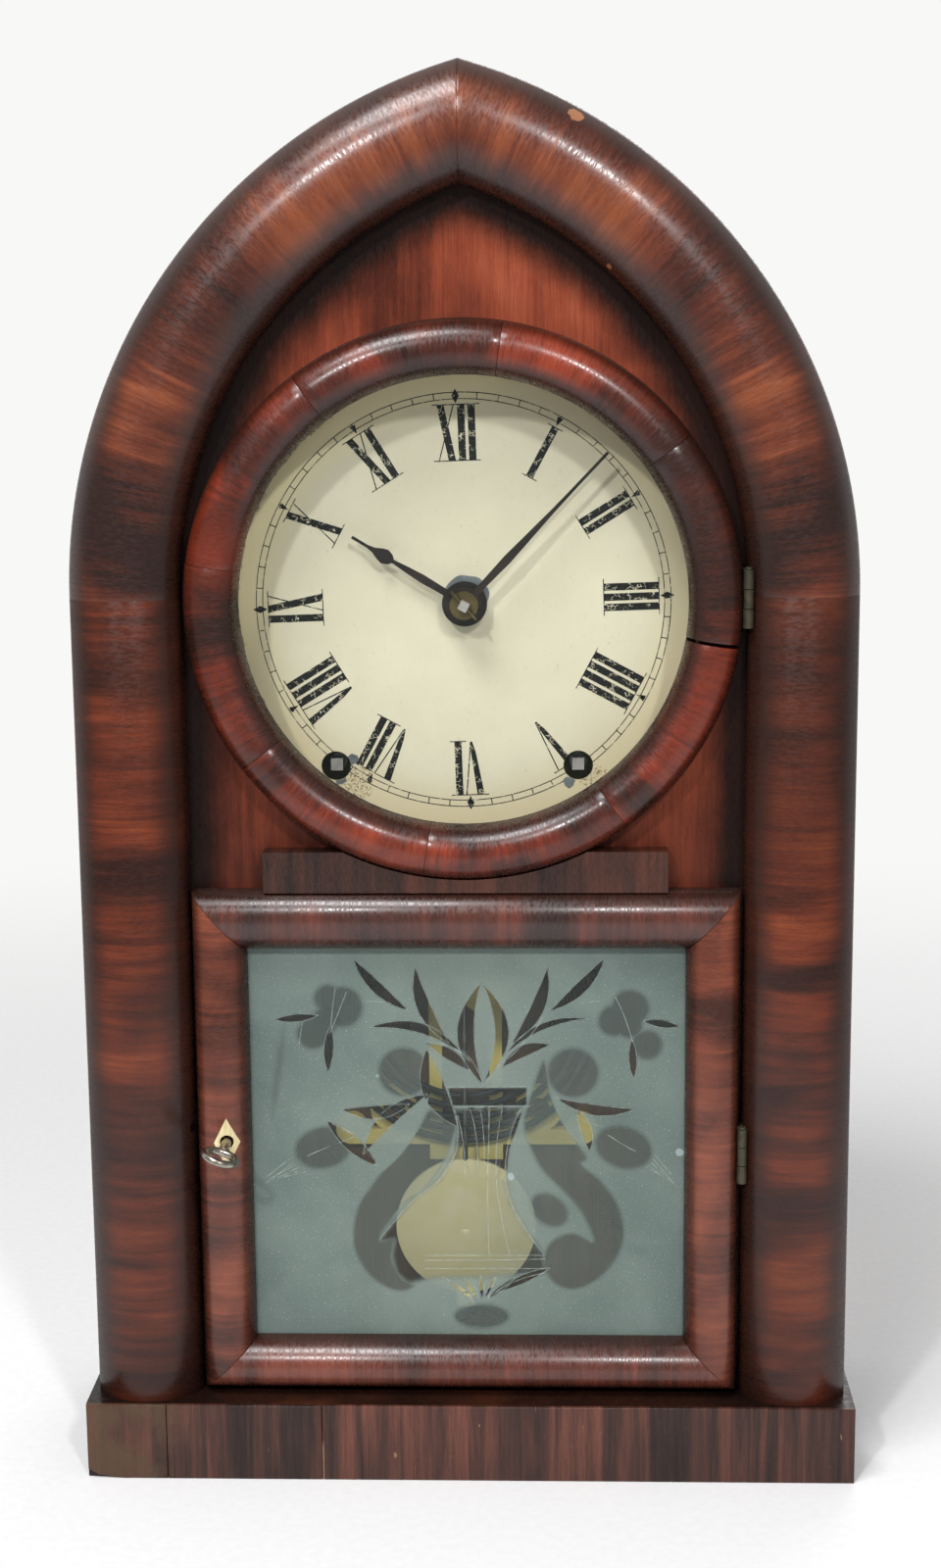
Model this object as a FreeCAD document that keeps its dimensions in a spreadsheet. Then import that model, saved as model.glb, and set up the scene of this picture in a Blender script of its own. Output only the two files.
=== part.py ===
import FreeCAD, Part
import math
import os

import Sketcher

# Pointed shelf clock with a half-round arch moulding, a two-part glazed door,
# and an eight-day time and strike movement. Millimetres, +Z up, front towards -Y,
# origin at the centre of the base's underside.

doc = FreeCAD.newDocument("BeehiveClock")
sheet = doc.addObject("Spreadsheet::Sheet", "Sizes")

SIZES = [
    ("case_height", 483.0, "floor to peak"),
    ("case_half_width", 132.2, "centre to outside of the case"),
    ("spring_height", 309.7, "where the straight columns turn into the arch"),
    ("case_depth", 104.0, "base front to base back"),
    ("side_thickness", 10.0, "bent side boards"),
    ("panel_front", -31.0, "front face of the flat panel, door bears on it"),
    ("panel_thickness", 6.0, "front panel and front frame"),
    ("back_thickness", 8.0, "back board"),
    ("back_inset", 1.5, "back board inside the case outline"),
    ("base_height", 27.5, "base board"),
    ("base_half_width", 134.65, "base board"),
    ("veneer_thickness", 1.6, "base front sheets"),
    ("veneer_joint_left", -106.3, "joint between the first two sheets"),
    ("veneer_joint_right", -51.5, "joint between the last two sheets"),
    ("moulding_width", 37.0, "columns and arch"),
    ("moulding_edge", 7.6, "straight edge of the moulding in front of the panel"),
    ("moulding_rise", 11.0, "half-round above its straight edge"),
    ("panel_lap", 8.8, "arched panel below the top of the lower door"),
    ("ring_lap", 5.0, "ring's inner edge to the round opening in the panel"),
    ("stile_lap", 3.6, "stile's inner edge to the opening behind the lower door"),
    ("sill_top", 44.0, "front sill"),
    ("door_gap", 0.5, "door back to panel"),
    ("door_side_gap", 1.2, "door edge to column"),
    ("ring_width", 18.5, "ring bar"),
    ("ring_height", 307.3, "centre of the ring"),
    ("ring_joint", 8.7, "first ring joint, degrees clockwise from twelve"),
    ("bar_edge", 5.5, "straight edge of the door bars"),
    ("bar_rise", 8.9, "half-round of the door bars"),
    ("ring_to_frame", 4.5, "ring to the top of the lower door"),
    ("frame_bottom", 29.0, "lower door"),
    ("stile_width", 18.6, "lower door sides"),
    ("top_rail_width", 20.0, "lower door"),
    ("bottom_rail_width", 18.7, "lower door"),
    ("neck_inset", 25.0, "neck block inside the door edge"),
    ("neck_lap", 9.7, "neck block above the lowest point of the ring"),
    ("neck_thickness", 8.5, "block between ring and lower door"),
    ("rebate_width", 4.0, "seat of the glass in the bars"),
    ("rebate_depth", 4.5, "seat of the glass in the bars"),
    ("glass_thickness", 2.0, "both panes"),
    ("glass_clearance", 0.3, "pane edge to rebate"),
    ("hinge_tall", 19.6, "hinge leaf"),
    ("upper_hinge", 308.8, "centre of the upper hinge"),
    ("lower_hinge", 116.1, "centre of the lower hinge"),
    ("hinge_standoff", 1.0, "hinge axis beyond the door edge"),
    ("hinge_forward", 11.0, "hinge axis in front of the panel"),
    ("knuckle_radius", 1.65, "hinge barrel"),
    ("leaf_thickness", 0.6, "hinge leaves"),
    ("hinge_pin_radius", 0.75, "hinge pin"),
    ("running_clearance", 0.05, "shaft to hole, on the radius"),
    ("lock_height", 122.0, "key axis"),
    ("lock_inset", 10.9, "key axis inside the door edge"),
    ("keyhole_radius", 2.4, "round part of the keyhole"),
    ("key_radius", 1.7, "key shank"),
    ("key_bow_radius", 5.4, "middle of the bow ring"),
    ("key_wire_radius", 1.35, "wire of the bow ring"),
    ("key_bow_tilt", 19.5, "bow turned from level, degrees"),
    ("escutcheon_wide", 9.0, "diamond inlay"),
    ("escutcheon_tall", 18.0, "diamond inlay"),
    ("escutcheon_depth", 1.2, "diamond inlay"),
    ("bolt_throw", 5.0, "travel of the bolt"),
    ("dial_height", 305.5, "hand arbor above the floor"),
    ("dial_half", 86.0, "dial plate"),
    ("dial_front", -14.0, "painted face"),
    ("dial_thickness", 0.8, "zinc"),
    ("dial_bore", 6.2, "hole for the hand arbor"),
    ("winding_hole_radius", 5.15, "winding holes"),
    ("time_winding_x", 38.9, "right winding arbor"),
    ("strike_winding_x", -45.6, "left winding arbor"),
    ("winding_height", 248.5, "both winding arbors"),
    ("plate_front", -4.0, "front face of the front plate"),
    ("plate_thickness", 1.6, "movement plates"),
    ("plate_gap", 24.4, "between the plates"),
    ("plate_left", -76.0, "movement plates"),
    ("plate_right", 70.0, "movement plates"),
    ("plate_bottom", 213.0, "movement plates"),
    ("plate_top", 374.0, "movement plates"),
    ("arbor_radius", 1.2, "train arbors"),
    ("winding_arbor_radius", 3.0, "winding arbors"),
    ("winding_square", 4.2, "winding squares"),
    ("minute_arbor_radius", 2.3, "hand arbor"),
    ("minute_square", 3.2, "square end of the hand arbor"),
    ("hour_pipe_radius", 3.6, "hour wheel pipe, outside"),
    ("minute_length", 70.7, "minute hand"),
    ("hour_length", 44.7, "hour hand"),
    ("minute_angle", 43.7, "degrees clockwise from twelve"),
    ("hour_angle", -59.0, "degrees clockwise from twelve"),
    ("hand_thickness", 0.9, "both hands"),
    ("hour_hub_radius", 7.75, "hour hand hub"),
    ("minute_hub_radius", 5.9, "minute hand hub"),
    ("collet_radius", 4.85, "brass washer on the hands"),
    ("pendulum_side", -3.4, "line of the pendulum"),
    ("pendulum_depth", 29.0, "plane of the pendulum"),
    ("pendulum_length", 295.7, "suspension to bob centre, beats the train's 6600 an hour"),
    ("bob_height", 63.5, "bob centre above the floor"),
    ("bob_radius", 26.5, "bob"),
    ("bob_thickness", 9.0, "bob"),
    ("bob_edge", 1.6, "bob rim"),
    ("rod_radius", 1.0, "pendulum rod"),
    ("gong_height", 148.0, "coil centre"),
    ("gong_radius", 53.0, "outer loop"),
    ("gong_pitch", 4.4, "between loops"),
    ("gong_wire", 1.3, "wire radius"),
    ("gong_crook", 12.0, "bend from the inner loop to the boss"),
    ("gong_depth", 36.5, "plane of the coil"),
    ("stand_thickness", 4.0, "gilt casting"),
    ("hammer_height", 240.0, "hammer pivot"),
    ("spring_strip", 0.5, "mainspring strip"),
    ("spring_pitch", 3.6, "mainspring turns"),
    ("spring_radius", 26.0, "mainspring outside"),
    ("spring_tall", 11.0, "mainspring strip height"),
]


class Size:
    """A length that carries both its number and its text for the expression engine."""

    def __init__(self, text, number):
        self.text = text
        self.number = number

    def __add__(self, other):
        other = as_size(other)
        return Size("(%s + %s)" % (self.text, other.text), self.number + other.number)

    def __sub__(self, other):
        other = as_size(other)
        return Size("(%s - %s)" % (self.text, other.text), self.number - other.number)

    def __mul__(self, other):
        other = as_size(other)
        return Size("(%s * %s)" % (self.text, other.text), self.number * other.number)

    def __truediv__(self, other):
        other = as_size(other)
        return Size("(%s / %s)" % (self.text, other.text), self.number / other.number)

    def __radd__(self, other):
        return as_size(other) + self

    def __rsub__(self, other):
        return as_size(other) - self

    def __rmul__(self, other):
        return as_size(other) * self

    def __neg__(self):
        return Size("(0 - %s)" % self.text, -self.number)


def as_size(value):
    if isinstance(value, Size):
        return value
    return Size("%.6f" % value, float(value))


def square_root(value):
    return Size("sqrt(%s)" % value.text, math.sqrt(value.number))


size = {}
for line, (alias, value, note) in enumerate(SIZES, start=1):
    sheet.set("A%d" % line, alias)
    sheet.set("B%d" % line, str(value))
    sheet.set("C%d" % line, note)
    sheet.setAlias("B%d" % line, alias)
    size[alias] = Size("Sizes." + alias, value)
doc.recompute()


def number(alias):
    return float(sheet.get(alias))


# Helpers shared by all pieces

nodes = []


def node(label, thing):
    thing.Label = label
    nodes.append(thing)
    return thing


def bind(thing, path, value):
    thing.setExpression(path, as_size(value).text)


def place(thing, x, y, z):
    bind(thing, "Placement.Base.x", x)
    bind(thing, "Placement.Base.y", y)
    bind(thing, "Placement.Base.z", z)


def turned(thing, axis, degrees):
    thing.Placement = FreeCAD.Placement(FreeCAD.Vector(0, 0, 0), FreeCAD.Rotation(FreeCAD.Vector(*axis), degrees))


def block(name, x, y, z):
    """Box between low and high values along each axis."""
    thing = doc.addObject("Part::Box", name)
    bind(thing, "Length", x[1] - x[0])
    bind(thing, "Width", y[1] - y[0])
    bind(thing, "Height", z[1] - z[0])
    place(thing, x[0], y[0], z[0])
    return thing


def bar_y(name, x, z, y, radius):
    """Round bar along Y."""
    thing = doc.addObject("Part::Cylinder", name)
    turned(thing, (1, 0, 0), -90)
    bind(thing, "Radius", radius)
    bind(thing, "Height", y[1] - y[0])
    place(thing, x, y[0], z)
    return thing


def bar_z(name, x, y, z, radius):
    """Round bar along Z."""
    thing = doc.addObject("Part::Cylinder", name)
    bind(thing, "Radius", radius)
    bind(thing, "Height", z[1] - z[0])
    place(thing, x, y, z[0])
    return thing


def fuse(name, *things):
    joined = doc.addObject("Part::MultiFuse", name)
    joined.Shapes = list(things)
    return joined


def cut(name, base, *tools):
    for index, tool in enumerate(tools):
        result = doc.addObject("Part::Cut", "%s_%d" % (name, index))
        result.Base = base
        result.Tool = tool
        base = result
    return base


def common(name, first, second):
    result = doc.addObject("Part::Common", name)
    result.Base = first
    result.Tool = second
    return result


def together(name, *things):
    """Several separate solids kept as one piece of the list."""
    result = doc.addObject("Part::Compound", name)
    result.Links = list(things)
    return result


def mirrored(name, source):
    result = doc.addObject("Part::Mirroring", name)
    result.Source = source
    result.Base = FreeCAD.Vector(0, 0, 0)
    result.Normal = FreeCAD.Vector(1, 0, 0)
    return result


def new_body(name, x=0, y=0, z=0):
    body = doc.addObject("PartDesign::Body", name)
    place(body, x, y, z)
    return body


def outline(body, name, role, corners, arcs=None):
    """Closed sketch on one of the body's own planes, every corner held by two bound distances.
    arcs: corner index -> (centre u, centre v, radius, +1 anticlockwise or -1)."""
    arcs = arcs or {}
    sketch = body.newObject("Sketcher::SketchObject", name)
    plane = [item for item in body.Origin.OriginFeatures if item.Role == role][0]
    sketch.AttachmentSupport = (plane, [""])
    sketch.MapMode = "FlatFace"
    points = []
    for u, v in corners:
        points.append(FreeCAD.Vector(as_size(u).number, as_size(v).number, 0))
    ends = []
    for index, first in enumerate(points):
        last = points[(index + 1) % len(points)]
        if index not in arcs:
            sketch.addGeometry(Part.LineSegment(first, last), False)
            ends.append((1, 2))
            continue
        centre_u, centre_v, radius, turn = arcs[index]
        centre = FreeCAD.Vector(as_size(centre_u).number, as_size(centre_v).number, 0)
        begin = math.atan2(first.y - centre.y, first.x - centre.x)
        finish = math.atan2(last.y - centre.y, last.x - centre.x)
        circle = Part.Circle(centre, FreeCAD.Vector(0, 0, 1), as_size(radius).number)
        if turn > 0:
            sketch.addGeometry(Part.ArcOfCircle(circle, begin, finish), False)
            ends.append((1, 2))
        else:
            sketch.addGeometry(Part.ArcOfCircle(circle, finish, begin), False)
            ends.append((2, 1))
    for index in range(len(points)):
        following = (index + 1) % len(points)
        sketch.addConstraint(Sketcher.Constraint("Coincident", index, ends[index][1], following, ends[following][0]))
    for index, (u, v) in enumerate(corners):
        for kind, value in (("DistanceX", u), ("DistanceY", v)):
            held = Sketcher.Constraint(kind, -1, 1, index, ends[index][0], as_size(value).number)
            place_in_list = sketch.addConstraint(held)
            sketch.setExpression("Constraints[%d]" % place_in_list, as_size(value).text)
    for index, (centre_u, centre_v, radius, turn) in arcs.items():
        place_in_list = sketch.addConstraint(Sketcher.Constraint("Radius", index, as_size(radius).number))
        sketch.setExpression("Constraints[%d]" % place_in_list, as_size(radius).text)
    return sketch


def pad(body, sketch, length, backwards=False):
    feature = body.newObject("PartDesign::Pad", sketch.Name + "_Pad")
    feature.Profile = sketch
    feature.Reversed = backwards
    bind(feature, "Length", length)
    sketch.Visibility = False
    body.Tip = feature
    return feature


def revolve(body, sketch, degrees, backwards=False):
    feature = body.newObject("PartDesign::Revolution", sketch.Name + "_Turn")
    feature.Profile = sketch
    feature.ReferenceAxis = (sketch, ["V_Axis"])
    feature.Angle = degrees
    feature.Reversed = backwards
    body.Tip = feature
    return feature


def slice_off(body, sketch):
    """Pocket through everything on both sides of the sketch plane."""
    feature = body.newObject("PartDesign::Pocket", sketch.Name + "_Pocket")
    feature.Profile = sketch
    feature.Type = "ThroughAll"
    feature.Midplane = True
    body.Tip = feature
    return feature


def rectangle(u, v):
    return [(u[0], v[0]), (u[1], v[0]), (u[1], v[1]), (u[0], v[1])]


# Case lines used by many pieces

half = size["case_half_width"]
spring = size["spring_height"]
base_top = size["base_height"]
arch_rise = size["case_height"] - spring
arch_radius = (arch_rise * arch_rise + half * half) / (2 * half)
arch_offset = arch_radius - half
back_face = size["case_depth"] / 2
base_front = -back_face
back_front = back_face - size["back_thickness"]
panel_front = size["panel_front"]
panel_back = panel_front + size["panel_thickness"]
moulding_inner = half - size["moulding_width"]
inner_half = half - size["side_thickness"]
door_half = moulding_inner - size["door_side_gap"]
stile_inner = door_half - size["stile_width"]
ring_inner = door_half - size["ring_width"]
ring_height = size["ring_height"]
frame_top = ring_height - door_half - size["ring_to_frame"]
panel_foot = frame_top - size["panel_lap"]


def arch_outline(inset, foot):
    """Corners and arcs of the pointed arch, inset from the case outline."""
    reach = half - inset
    radius = arch_radius - inset
    peak = spring + square_root(radius * radius - arch_offset * arch_offset)
    corners = [(-reach, foot), (reach, foot), (reach, spring), (0, peak), (-reach, spring)]
    arcs = {2: (-arch_offset, spring, radius, 1), 3: (arch_offset, spring, radius, 1)}
    return corners, arcs


# Base board and the three veneer sheets on its front

base_half = size["base_half_width"]
sheet_back = base_front + size["veneer_thickness"]
node("base_board", block("BaseBoard", (-base_half, base_half), (sheet_back, back_face), (as_size(0), base_top)))
joints = [-base_half, size["veneer_joint_left"], size["veneer_joint_right"], base_half]
sheets = []
for index in range(3):
    span = (joints[index], joints[index + 1])
    sheets.append(block("VeneerSheet%d" % index, span, (base_front, sheet_back), (as_size(0), base_top)))
node("base_front_veneer", together("BaseVeneer", *sheets))

# Bent case sides: straight board that turns into its half of the roof, mitred at the peak


def peak_cut(body, name):
    """Vertical mitre through the peak, in a body that has the arch centre as origin."""
    beyond = outline(body, name, "XZ_Plane", rectangle((-arch_radius, arch_offset), (as_size(-1), arch_radius * 1.2)))
    slice_off(body, beyond)


side = new_body("CaseSideRight", -arch_offset, 0, spring)
side_inner = arch_radius - size["side_thickness"]
side_section = rectangle((side_inner, arch_radius), (panel_front, back_front))
pad(side, outline(side, "SideFoot", "XY_Plane", side_section), spring - base_top, True)
revolve(side, outline(side, "SideRoof", "XY_Plane", side_section), 86, True)
peak_cut(side, "SidePeak")
side_left = mirrored("CaseSideLeft", side)

# Half-round columns and arch mouldings, glued to the front edge of the case

edge_front = panel_front - size["moulding_edge"]
crown_rise = size["moulding_rise"]
crown_half = size["moulding_width"] / 2
crown_radius = (crown_half * crown_half + crown_rise * crown_rise) / (2 * crown_rise)
crown_centre = edge_front - crown_rise + crown_radius


def moulding_section(body, name, inner, outer):
    corners = [(inner, panel_front), (inner, edge_front), (outer, edge_front), (outer, panel_front)]
    arcs = {1: ((inner + outer) / 2, crown_centre, crown_radius, 1)}
    return outline(body, name, "XY_Plane", corners, arcs)


column = new_body("ColumnRight", 0, 0, base_top)
pad(column, moulding_section(column, "ColumnSection", moulding_inner, half), spring - base_top)
node("column_right", column)
bolt_low = size["lock_height"] + 2.6
bolt_high = bolt_low + 6.4
bolt_front = panel_front - 4.5
bolt_back = panel_front - 2.0
mortise = block("BoltMortise", (-moulding_inner - 6, -moulding_inner + 1),
                (bolt_front - 1, bolt_back + 1), (bolt_low - 1, bolt_high + 1))
node("column_left", cut("ColumnLeft", mirrored("ColumnMirror", column), mortise))

arch = new_body("ArchRight", -arch_offset, 0, spring)
arch_section = moulding_section(arch, "ArchSection", arch_radius - size["moulding_width"], arch_radius)
revolve(arch, arch_section, 86, True)
peak_cut(arch, "ArchPeak")
node("arch_moulding_left", mirrored("ArchLeft", arch))

# Flat front panel with the round opening, and the plain frame behind the lower door

panel = new_body("PanelBlank", 0, panel_back, 0)
panel_corners, panel_arcs = arch_outline(size["side_thickness"], panel_foot)
pad(panel, outline(panel, "PanelOutline", "XZ_Plane", panel_corners, panel_arcs), size["panel_thickness"])
round_opening = bar_y("RoundOpening", as_size(0), ring_height, (panel_front - 1, panel_back + 1),
                      ring_inner + size["ring_lap"])
node("front_panel", cut("FrontPanel", panel, round_opening))
frame_y = (panel_front, panel_back)
opening_half = stile_inner + size["stile_lap"]
node("front_frame", together(
    "FrontFrame",
    block("FrameLeft", (-inner_half, -opening_half), frame_y, (base_top, panel_foot)),
    block("FrameRight", (opening_half, inner_half), frame_y, (base_top, panel_foot)),
    block("FrameSill", (-opening_half, opening_half), frame_y, (base_top, size["sill_top"]))))

# Door lines

door_back = panel_front - size["door_gap"]
bar_side = door_back - size["bar_edge"]
bar_crown = bar_side - size["bar_rise"]
lip = door_back - size["rebate_depth"]
frame_bottom = size["frame_bottom"]
glass_top = frame_top - size["top_rail_width"]
glass_bottom = frame_bottom + size["bottom_rail_width"]


def bar_section(body, name, role, outer, inner, flipped=False):
    """Half-round door bar with a rebate for the glass along its inner back edge.
    The first sketch axis runs across the bar unless flipped."""
    width_sign = 1 if outer.number > inner.number else -1
    seat = inner + width_sign * size["rebate_width"]
    middle = (outer + inner) / 2
    reach = width_sign * (outer - inner) / 2
    rise = size["bar_rise"]
    radius = (reach * reach + rise * rise) / (2 * rise)
    centre = bar_crown + radius
    corners = [(seat, door_back), (seat, lip), (inner, lip), (inner, bar_side), (outer, bar_side), (outer, door_back)]
    arc = (middle, centre, radius, width_sign)
    if flipped:
        corners = [(v, u) for u, v in corners]
        arc = (centre, middle, radius, -width_sign)
    return outline(body, name, role, corners, {3: arc})


# Hinges: axis just outside the door's right edge, in the groove between door and column

hinge_x = door_half + size["hinge_standoff"]
hinge_y = panel_front - size["hinge_forward"]
leaf_back = panel_front - 1.0
leaf_front = hinge_y + 2.1
knuckle = size["knuckle_radius"]
hinge_tall = size["hinge_tall"]
hinge_heights = (("Upper", size["upper_hinge"]), ("Lower", size["lower_hinge"]))
door_leaf_x = (door_half - size["leaf_thickness"], door_half)
case_leaf_x = (moulding_inner - size["leaf_thickness"], moulding_inner)
knuckle_gap = 0.15
leaf_beds = {}
case_leaves = []
door_leaves = []
hinge_pins = []
for which, height in hinge_heights:
    low = height - hinge_tall / 2
    third = hinge_tall / 3
    bore = bar_z(which + "HingeBore", hinge_x, hinge_y, (low - 2, low + hinge_tall + 2),
                 size["hinge_pin_radius"] + size["running_clearance"])
    case_parts = [block(which + "CaseLeaf", case_leaf_x, (leaf_front, leaf_back), (low, low + hinge_tall))]
    for end, start in (("Foot", low), ("Head", low + 2 * third)):
        span = (start + knuckle_gap, start + third - knuckle_gap)
        case_parts.append(bar_z(which + end + "Knuckle", hinge_x, hinge_y, span, knuckle))
        case_parts.append(block(which + end + "Tab", case_leaf_x, (hinge_y, leaf_front), span))
    case_leaves.append(cut(which + "CaseHinge", fuse(which + "CaseHingeBlank", *case_parts), bore))
    middle_span = (low + third + knuckle_gap, low + 2 * third - knuckle_gap)
    door_parts = [
        block(which + "DoorLeaf", door_leaf_x, (leaf_front, door_back - 0.5), (low, low + hinge_tall)),
        bar_z(which + "MiddleKnuckle", hinge_x, hinge_y, middle_span, knuckle),
        block(which + "MiddleTab", door_leaf_x, (hinge_y, leaf_front), middle_span)]
    door_leaves.append(cut(which + "DoorHinge", fuse(which + "DoorHingeBlank", *door_parts), bore))
    stem = bar_z(which + "PinStem", hinge_x, hinge_y, (low, low + hinge_tall), size["hinge_pin_radius"])
    head = bar_z(which + "PinHead", hinge_x, hinge_y, (low + hinge_tall, low + hinge_tall + 0.8),
                 size["hinge_pin_radius"] * 1.7)
    hinge_pins.append(fuse(which + "HingePin", stem, head))
    leaf_beds[which] = block(which + "LeafBed", (door_leaf_x[0], door_half + 1), (hinge_y + 1, door_back + 1),
                             (low, low + hinge_tall))
upper_low = size["upper_hinge"] - hinge_tall / 2
arch_bed = block("ArchLeafBed", case_leaf_x, (leaf_front, leaf_back), (upper_low, upper_low + hinge_tall))
node("arch_moulding_right", cut("ArchRightBedded", arch, arch_bed))
node("hinge_case_leaves", together("CaseHinges", *(case_leaves + hinge_pins)))
node("hinge_door_leaves", together("DoorHinges", *door_leaves))

# Door ring: eight equal segments, one of them bedded for the upper hinge leaf

segment = new_body("RingSegment")
revolve(segment, bar_section(segment, "RingSection", "XY_Plane", door_half, ring_inner), 45)
doc.recompute()
ring_centre = FreeCAD.Vector(0, 0, number("ring_height"))
ring_solids = []
for index in range(8):
    angle = number("ring_joint") + 45 * index - 90
    copy = segment.Shape.copy()
    copy.Placement = FreeCAD.Placement(ring_centre, FreeCAD.Rotation(FreeCAD.Vector(0, 1, 0), angle))
    if copy.BoundBox.XMax > door_half.number - 0.01:
        copy = copy.cut(leaf_beds["Upper"].Shape)
    ring_solids.append(copy)
ring = doc.addObject("Part::Feature", "DoorRing")
ring.Shape = Part.makeCompound(ring_solids)
node("door_ring", ring)

# Neck block, scooped to the ring

neck_half = door_half - size["neck_inset"]
neck = block("NeckBlank", (-neck_half, neck_half), (door_back - size["neck_thickness"], door_back),
             (frame_top, ring_height - door_half + size["neck_lap"]))
scoop = bar_y("NeckScoop", as_size(0), ring_height, (door_back - 20, door_back + 1), door_half)
node("door_neck_block", cut("NeckBlock", neck, scoop))

# Lower door frame: four half-round bars mitred at the corners


def mitred(name, bar, corners):
    shape = new_body(name + "Mitre", 0, door_back + 1, 0)
    pad(shape, outline(shape, name + "MitreOutline", "XZ_Plane", corners), as_size(30))
    return common(name, bar, shape)


rail_span = (-door_half - 1, door_half + 1)
top_bar = new_body("TopRailBar", rail_span[0], 0, 0)
pad(top_bar, bar_section(top_bar, "TopRailSection", "YZ_Plane", frame_top, glass_top, True), rail_span[1] - rail_span[0])
outer_left, outer_right = -door_half, door_half
inner_left, inner_right = -stile_inner, stile_inner
node("door_rail_top", mitred("TopRail", top_bar, [
    (inner_left, glass_top), (inner_right, glass_top), (outer_right, frame_top), (outer_left, frame_top)]))
low_bar = new_body("BottomRailBar", rail_span[0], 0, 0)
pad(low_bar, bar_section(low_bar, "BottomRailSection", "YZ_Plane", frame_bottom, glass_bottom, True),
    rail_span[1] - rail_span[0])
node("door_rail_bottom", mitred("BottomRail", low_bar, [
    (outer_left, frame_bottom), (outer_right, frame_bottom), (inner_right, glass_bottom), (inner_left, glass_bottom)]))
right_bar = new_body("RightStileBar", 0, 0, frame_bottom - 1)
pad(right_bar, bar_section(right_bar, "RightStileSection", "XY_Plane", door_half, stile_inner),
    frame_top - frame_bottom + 2)
right_stile = mitred("RightStile", right_bar, [
    (inner_right, glass_bottom), (outer_right, frame_bottom), (outer_right, frame_top), (inner_right, glass_top)])
node("door_stile_right", cut("RightStileBedded", right_stile, leaf_beds["Lower"]))
left_bar = new_body("LeftStileBar", 0, 0, frame_bottom - 1)
pad(left_bar, bar_section(left_bar, "LeftStileSection", "XY_Plane", -door_half, -stile_inner),
    frame_top - frame_bottom + 2)
left_stile = mitred("LeftStile", left_bar, [
    (outer_left, frame_bottom), (inner_left, glass_bottom), (inner_left, glass_top), (outer_left, frame_top)])

# Lock let into the back of the left stile, bolt, keyhole, diamond inlay and key

lock_x = size["lock_inset"] - door_half
lock_z = size["lock_height"]
lock_right = -stile_inner - size["rebate_width"] - 0.4
lock_front = door_back - 5.7
lock_back = door_back - 0.4
lock_low = lock_z - 6.5
lock_high = bolt_high + 1.8
lock_wall = 0.8
lock_bed = block("LockBed", (-door_half - 1, lock_right + 0.1), (lock_front - 0.1, door_back + 1),
                 (lock_low - 0.1, lock_high + 0.1))
keyhole_y = (door_back - 30, lock_front + 2)
keyhole = fuse("Keyhole", bar_y("KeyholeRound", lock_x, lock_z, keyhole_y, size["keyhole_radius"]),
               block("KeyholeSlot", (lock_x - 0.9, lock_x + 0.9), keyhole_y, (lock_z - 4.8, lock_z)))
lock_shell = block("LockShell", (-door_half, lock_right), (lock_front, lock_back), (lock_low, lock_high))
lock_room = block("LockRoom", (-door_half + lock_wall, lock_right - lock_wall),
                  (lock_front + lock_wall, lock_back - lock_wall), (lock_low + lock_wall, lock_high - lock_wall))
bolt_slot = block("BoltSlot", (-door_half - 1, -door_half + 3), (bolt_front - 0.2, bolt_back + 0.2),
                  (bolt_low - 0.2, bolt_high + 0.2))
node("lock_case", cut("LockCase", lock_shell, lock_room, bolt_slot, keyhole))
tail_low = bolt_low + 2.2
tail_start = lock_x - 4.5
node("lock_bolt", fuse(
    "LockBolt",
    block("BoltHead", (-door_half + 0.2, tail_start), (bolt_front, bolt_back), (bolt_low, bolt_high)),
    block("BoltTail", (tail_start, lock_right - lock_wall - 0.4), (bolt_front, bolt_back), (tail_low, bolt_high))))

inlay_half = size["escutcheon_wide"] / 2
inlay_rise = size["escutcheon_tall"] / 2
diamond = new_body("DiamondPrism", lock_x, door_back - 6, lock_z - 0.5)
pad(diamond, outline(diamond, "DiamondOutline", "XZ_Plane",
                     [(0, -inlay_rise), (inlay_half, 0), (0, inlay_rise), (-inlay_half, 0)]), as_size(12))
stile_reach = size["stile_width"] / 2
stile_round = (stile_reach * stile_reach + size["bar_rise"] * size["bar_rise"]) / (2 * size["bar_rise"])
stile_middle = -(door_half + stile_inner) / 2
inlay_span = (lock_z - 20, lock_z + 20)
outer_round = bar_z("InlayOuter", stile_middle, bar_crown + stile_round, inlay_span, stile_round + 0.1)
inner_round = bar_z("InlayInner", stile_middle, bar_crown + stile_round, inlay_span,
                    stile_round - size["escutcheon_depth"])
inlay = common("InlayDiamond", diamond, cut("InlayShell", outer_round, inner_round))
node("escutcheon", cut("Escutcheon", inlay, keyhole))
node("door_stile_left", cut("LeftStileFitted", left_stile, lock_bed, keyhole, inlay))

bow_y = bar_crown - 16
shank = bar_y("KeyShank", lock_x, lock_z, (bow_y + size["key_bow_radius"], lock_back - lock_wall - 0.5),
              size["key_radius"])
bow = doc.addObject("Part::Torus", "KeyBow")
turned(bow, (0, 1, 0), number("key_bow_tilt"))
bind(bow, "Radius1", size["key_bow_radius"])
bind(bow, "Radius2", size["key_wire_radius"])
place(bow, lock_x, bow_y, lock_z)
bit = block("KeyBit", (lock_x - 0.6, lock_x + 0.6), (bolt_front, bolt_back), (lock_z - 4, lock_z))
node("door_key", fuse("DoorKey", shank, bow, bit))

# Panes in the rebates and the beads behind them

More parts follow.
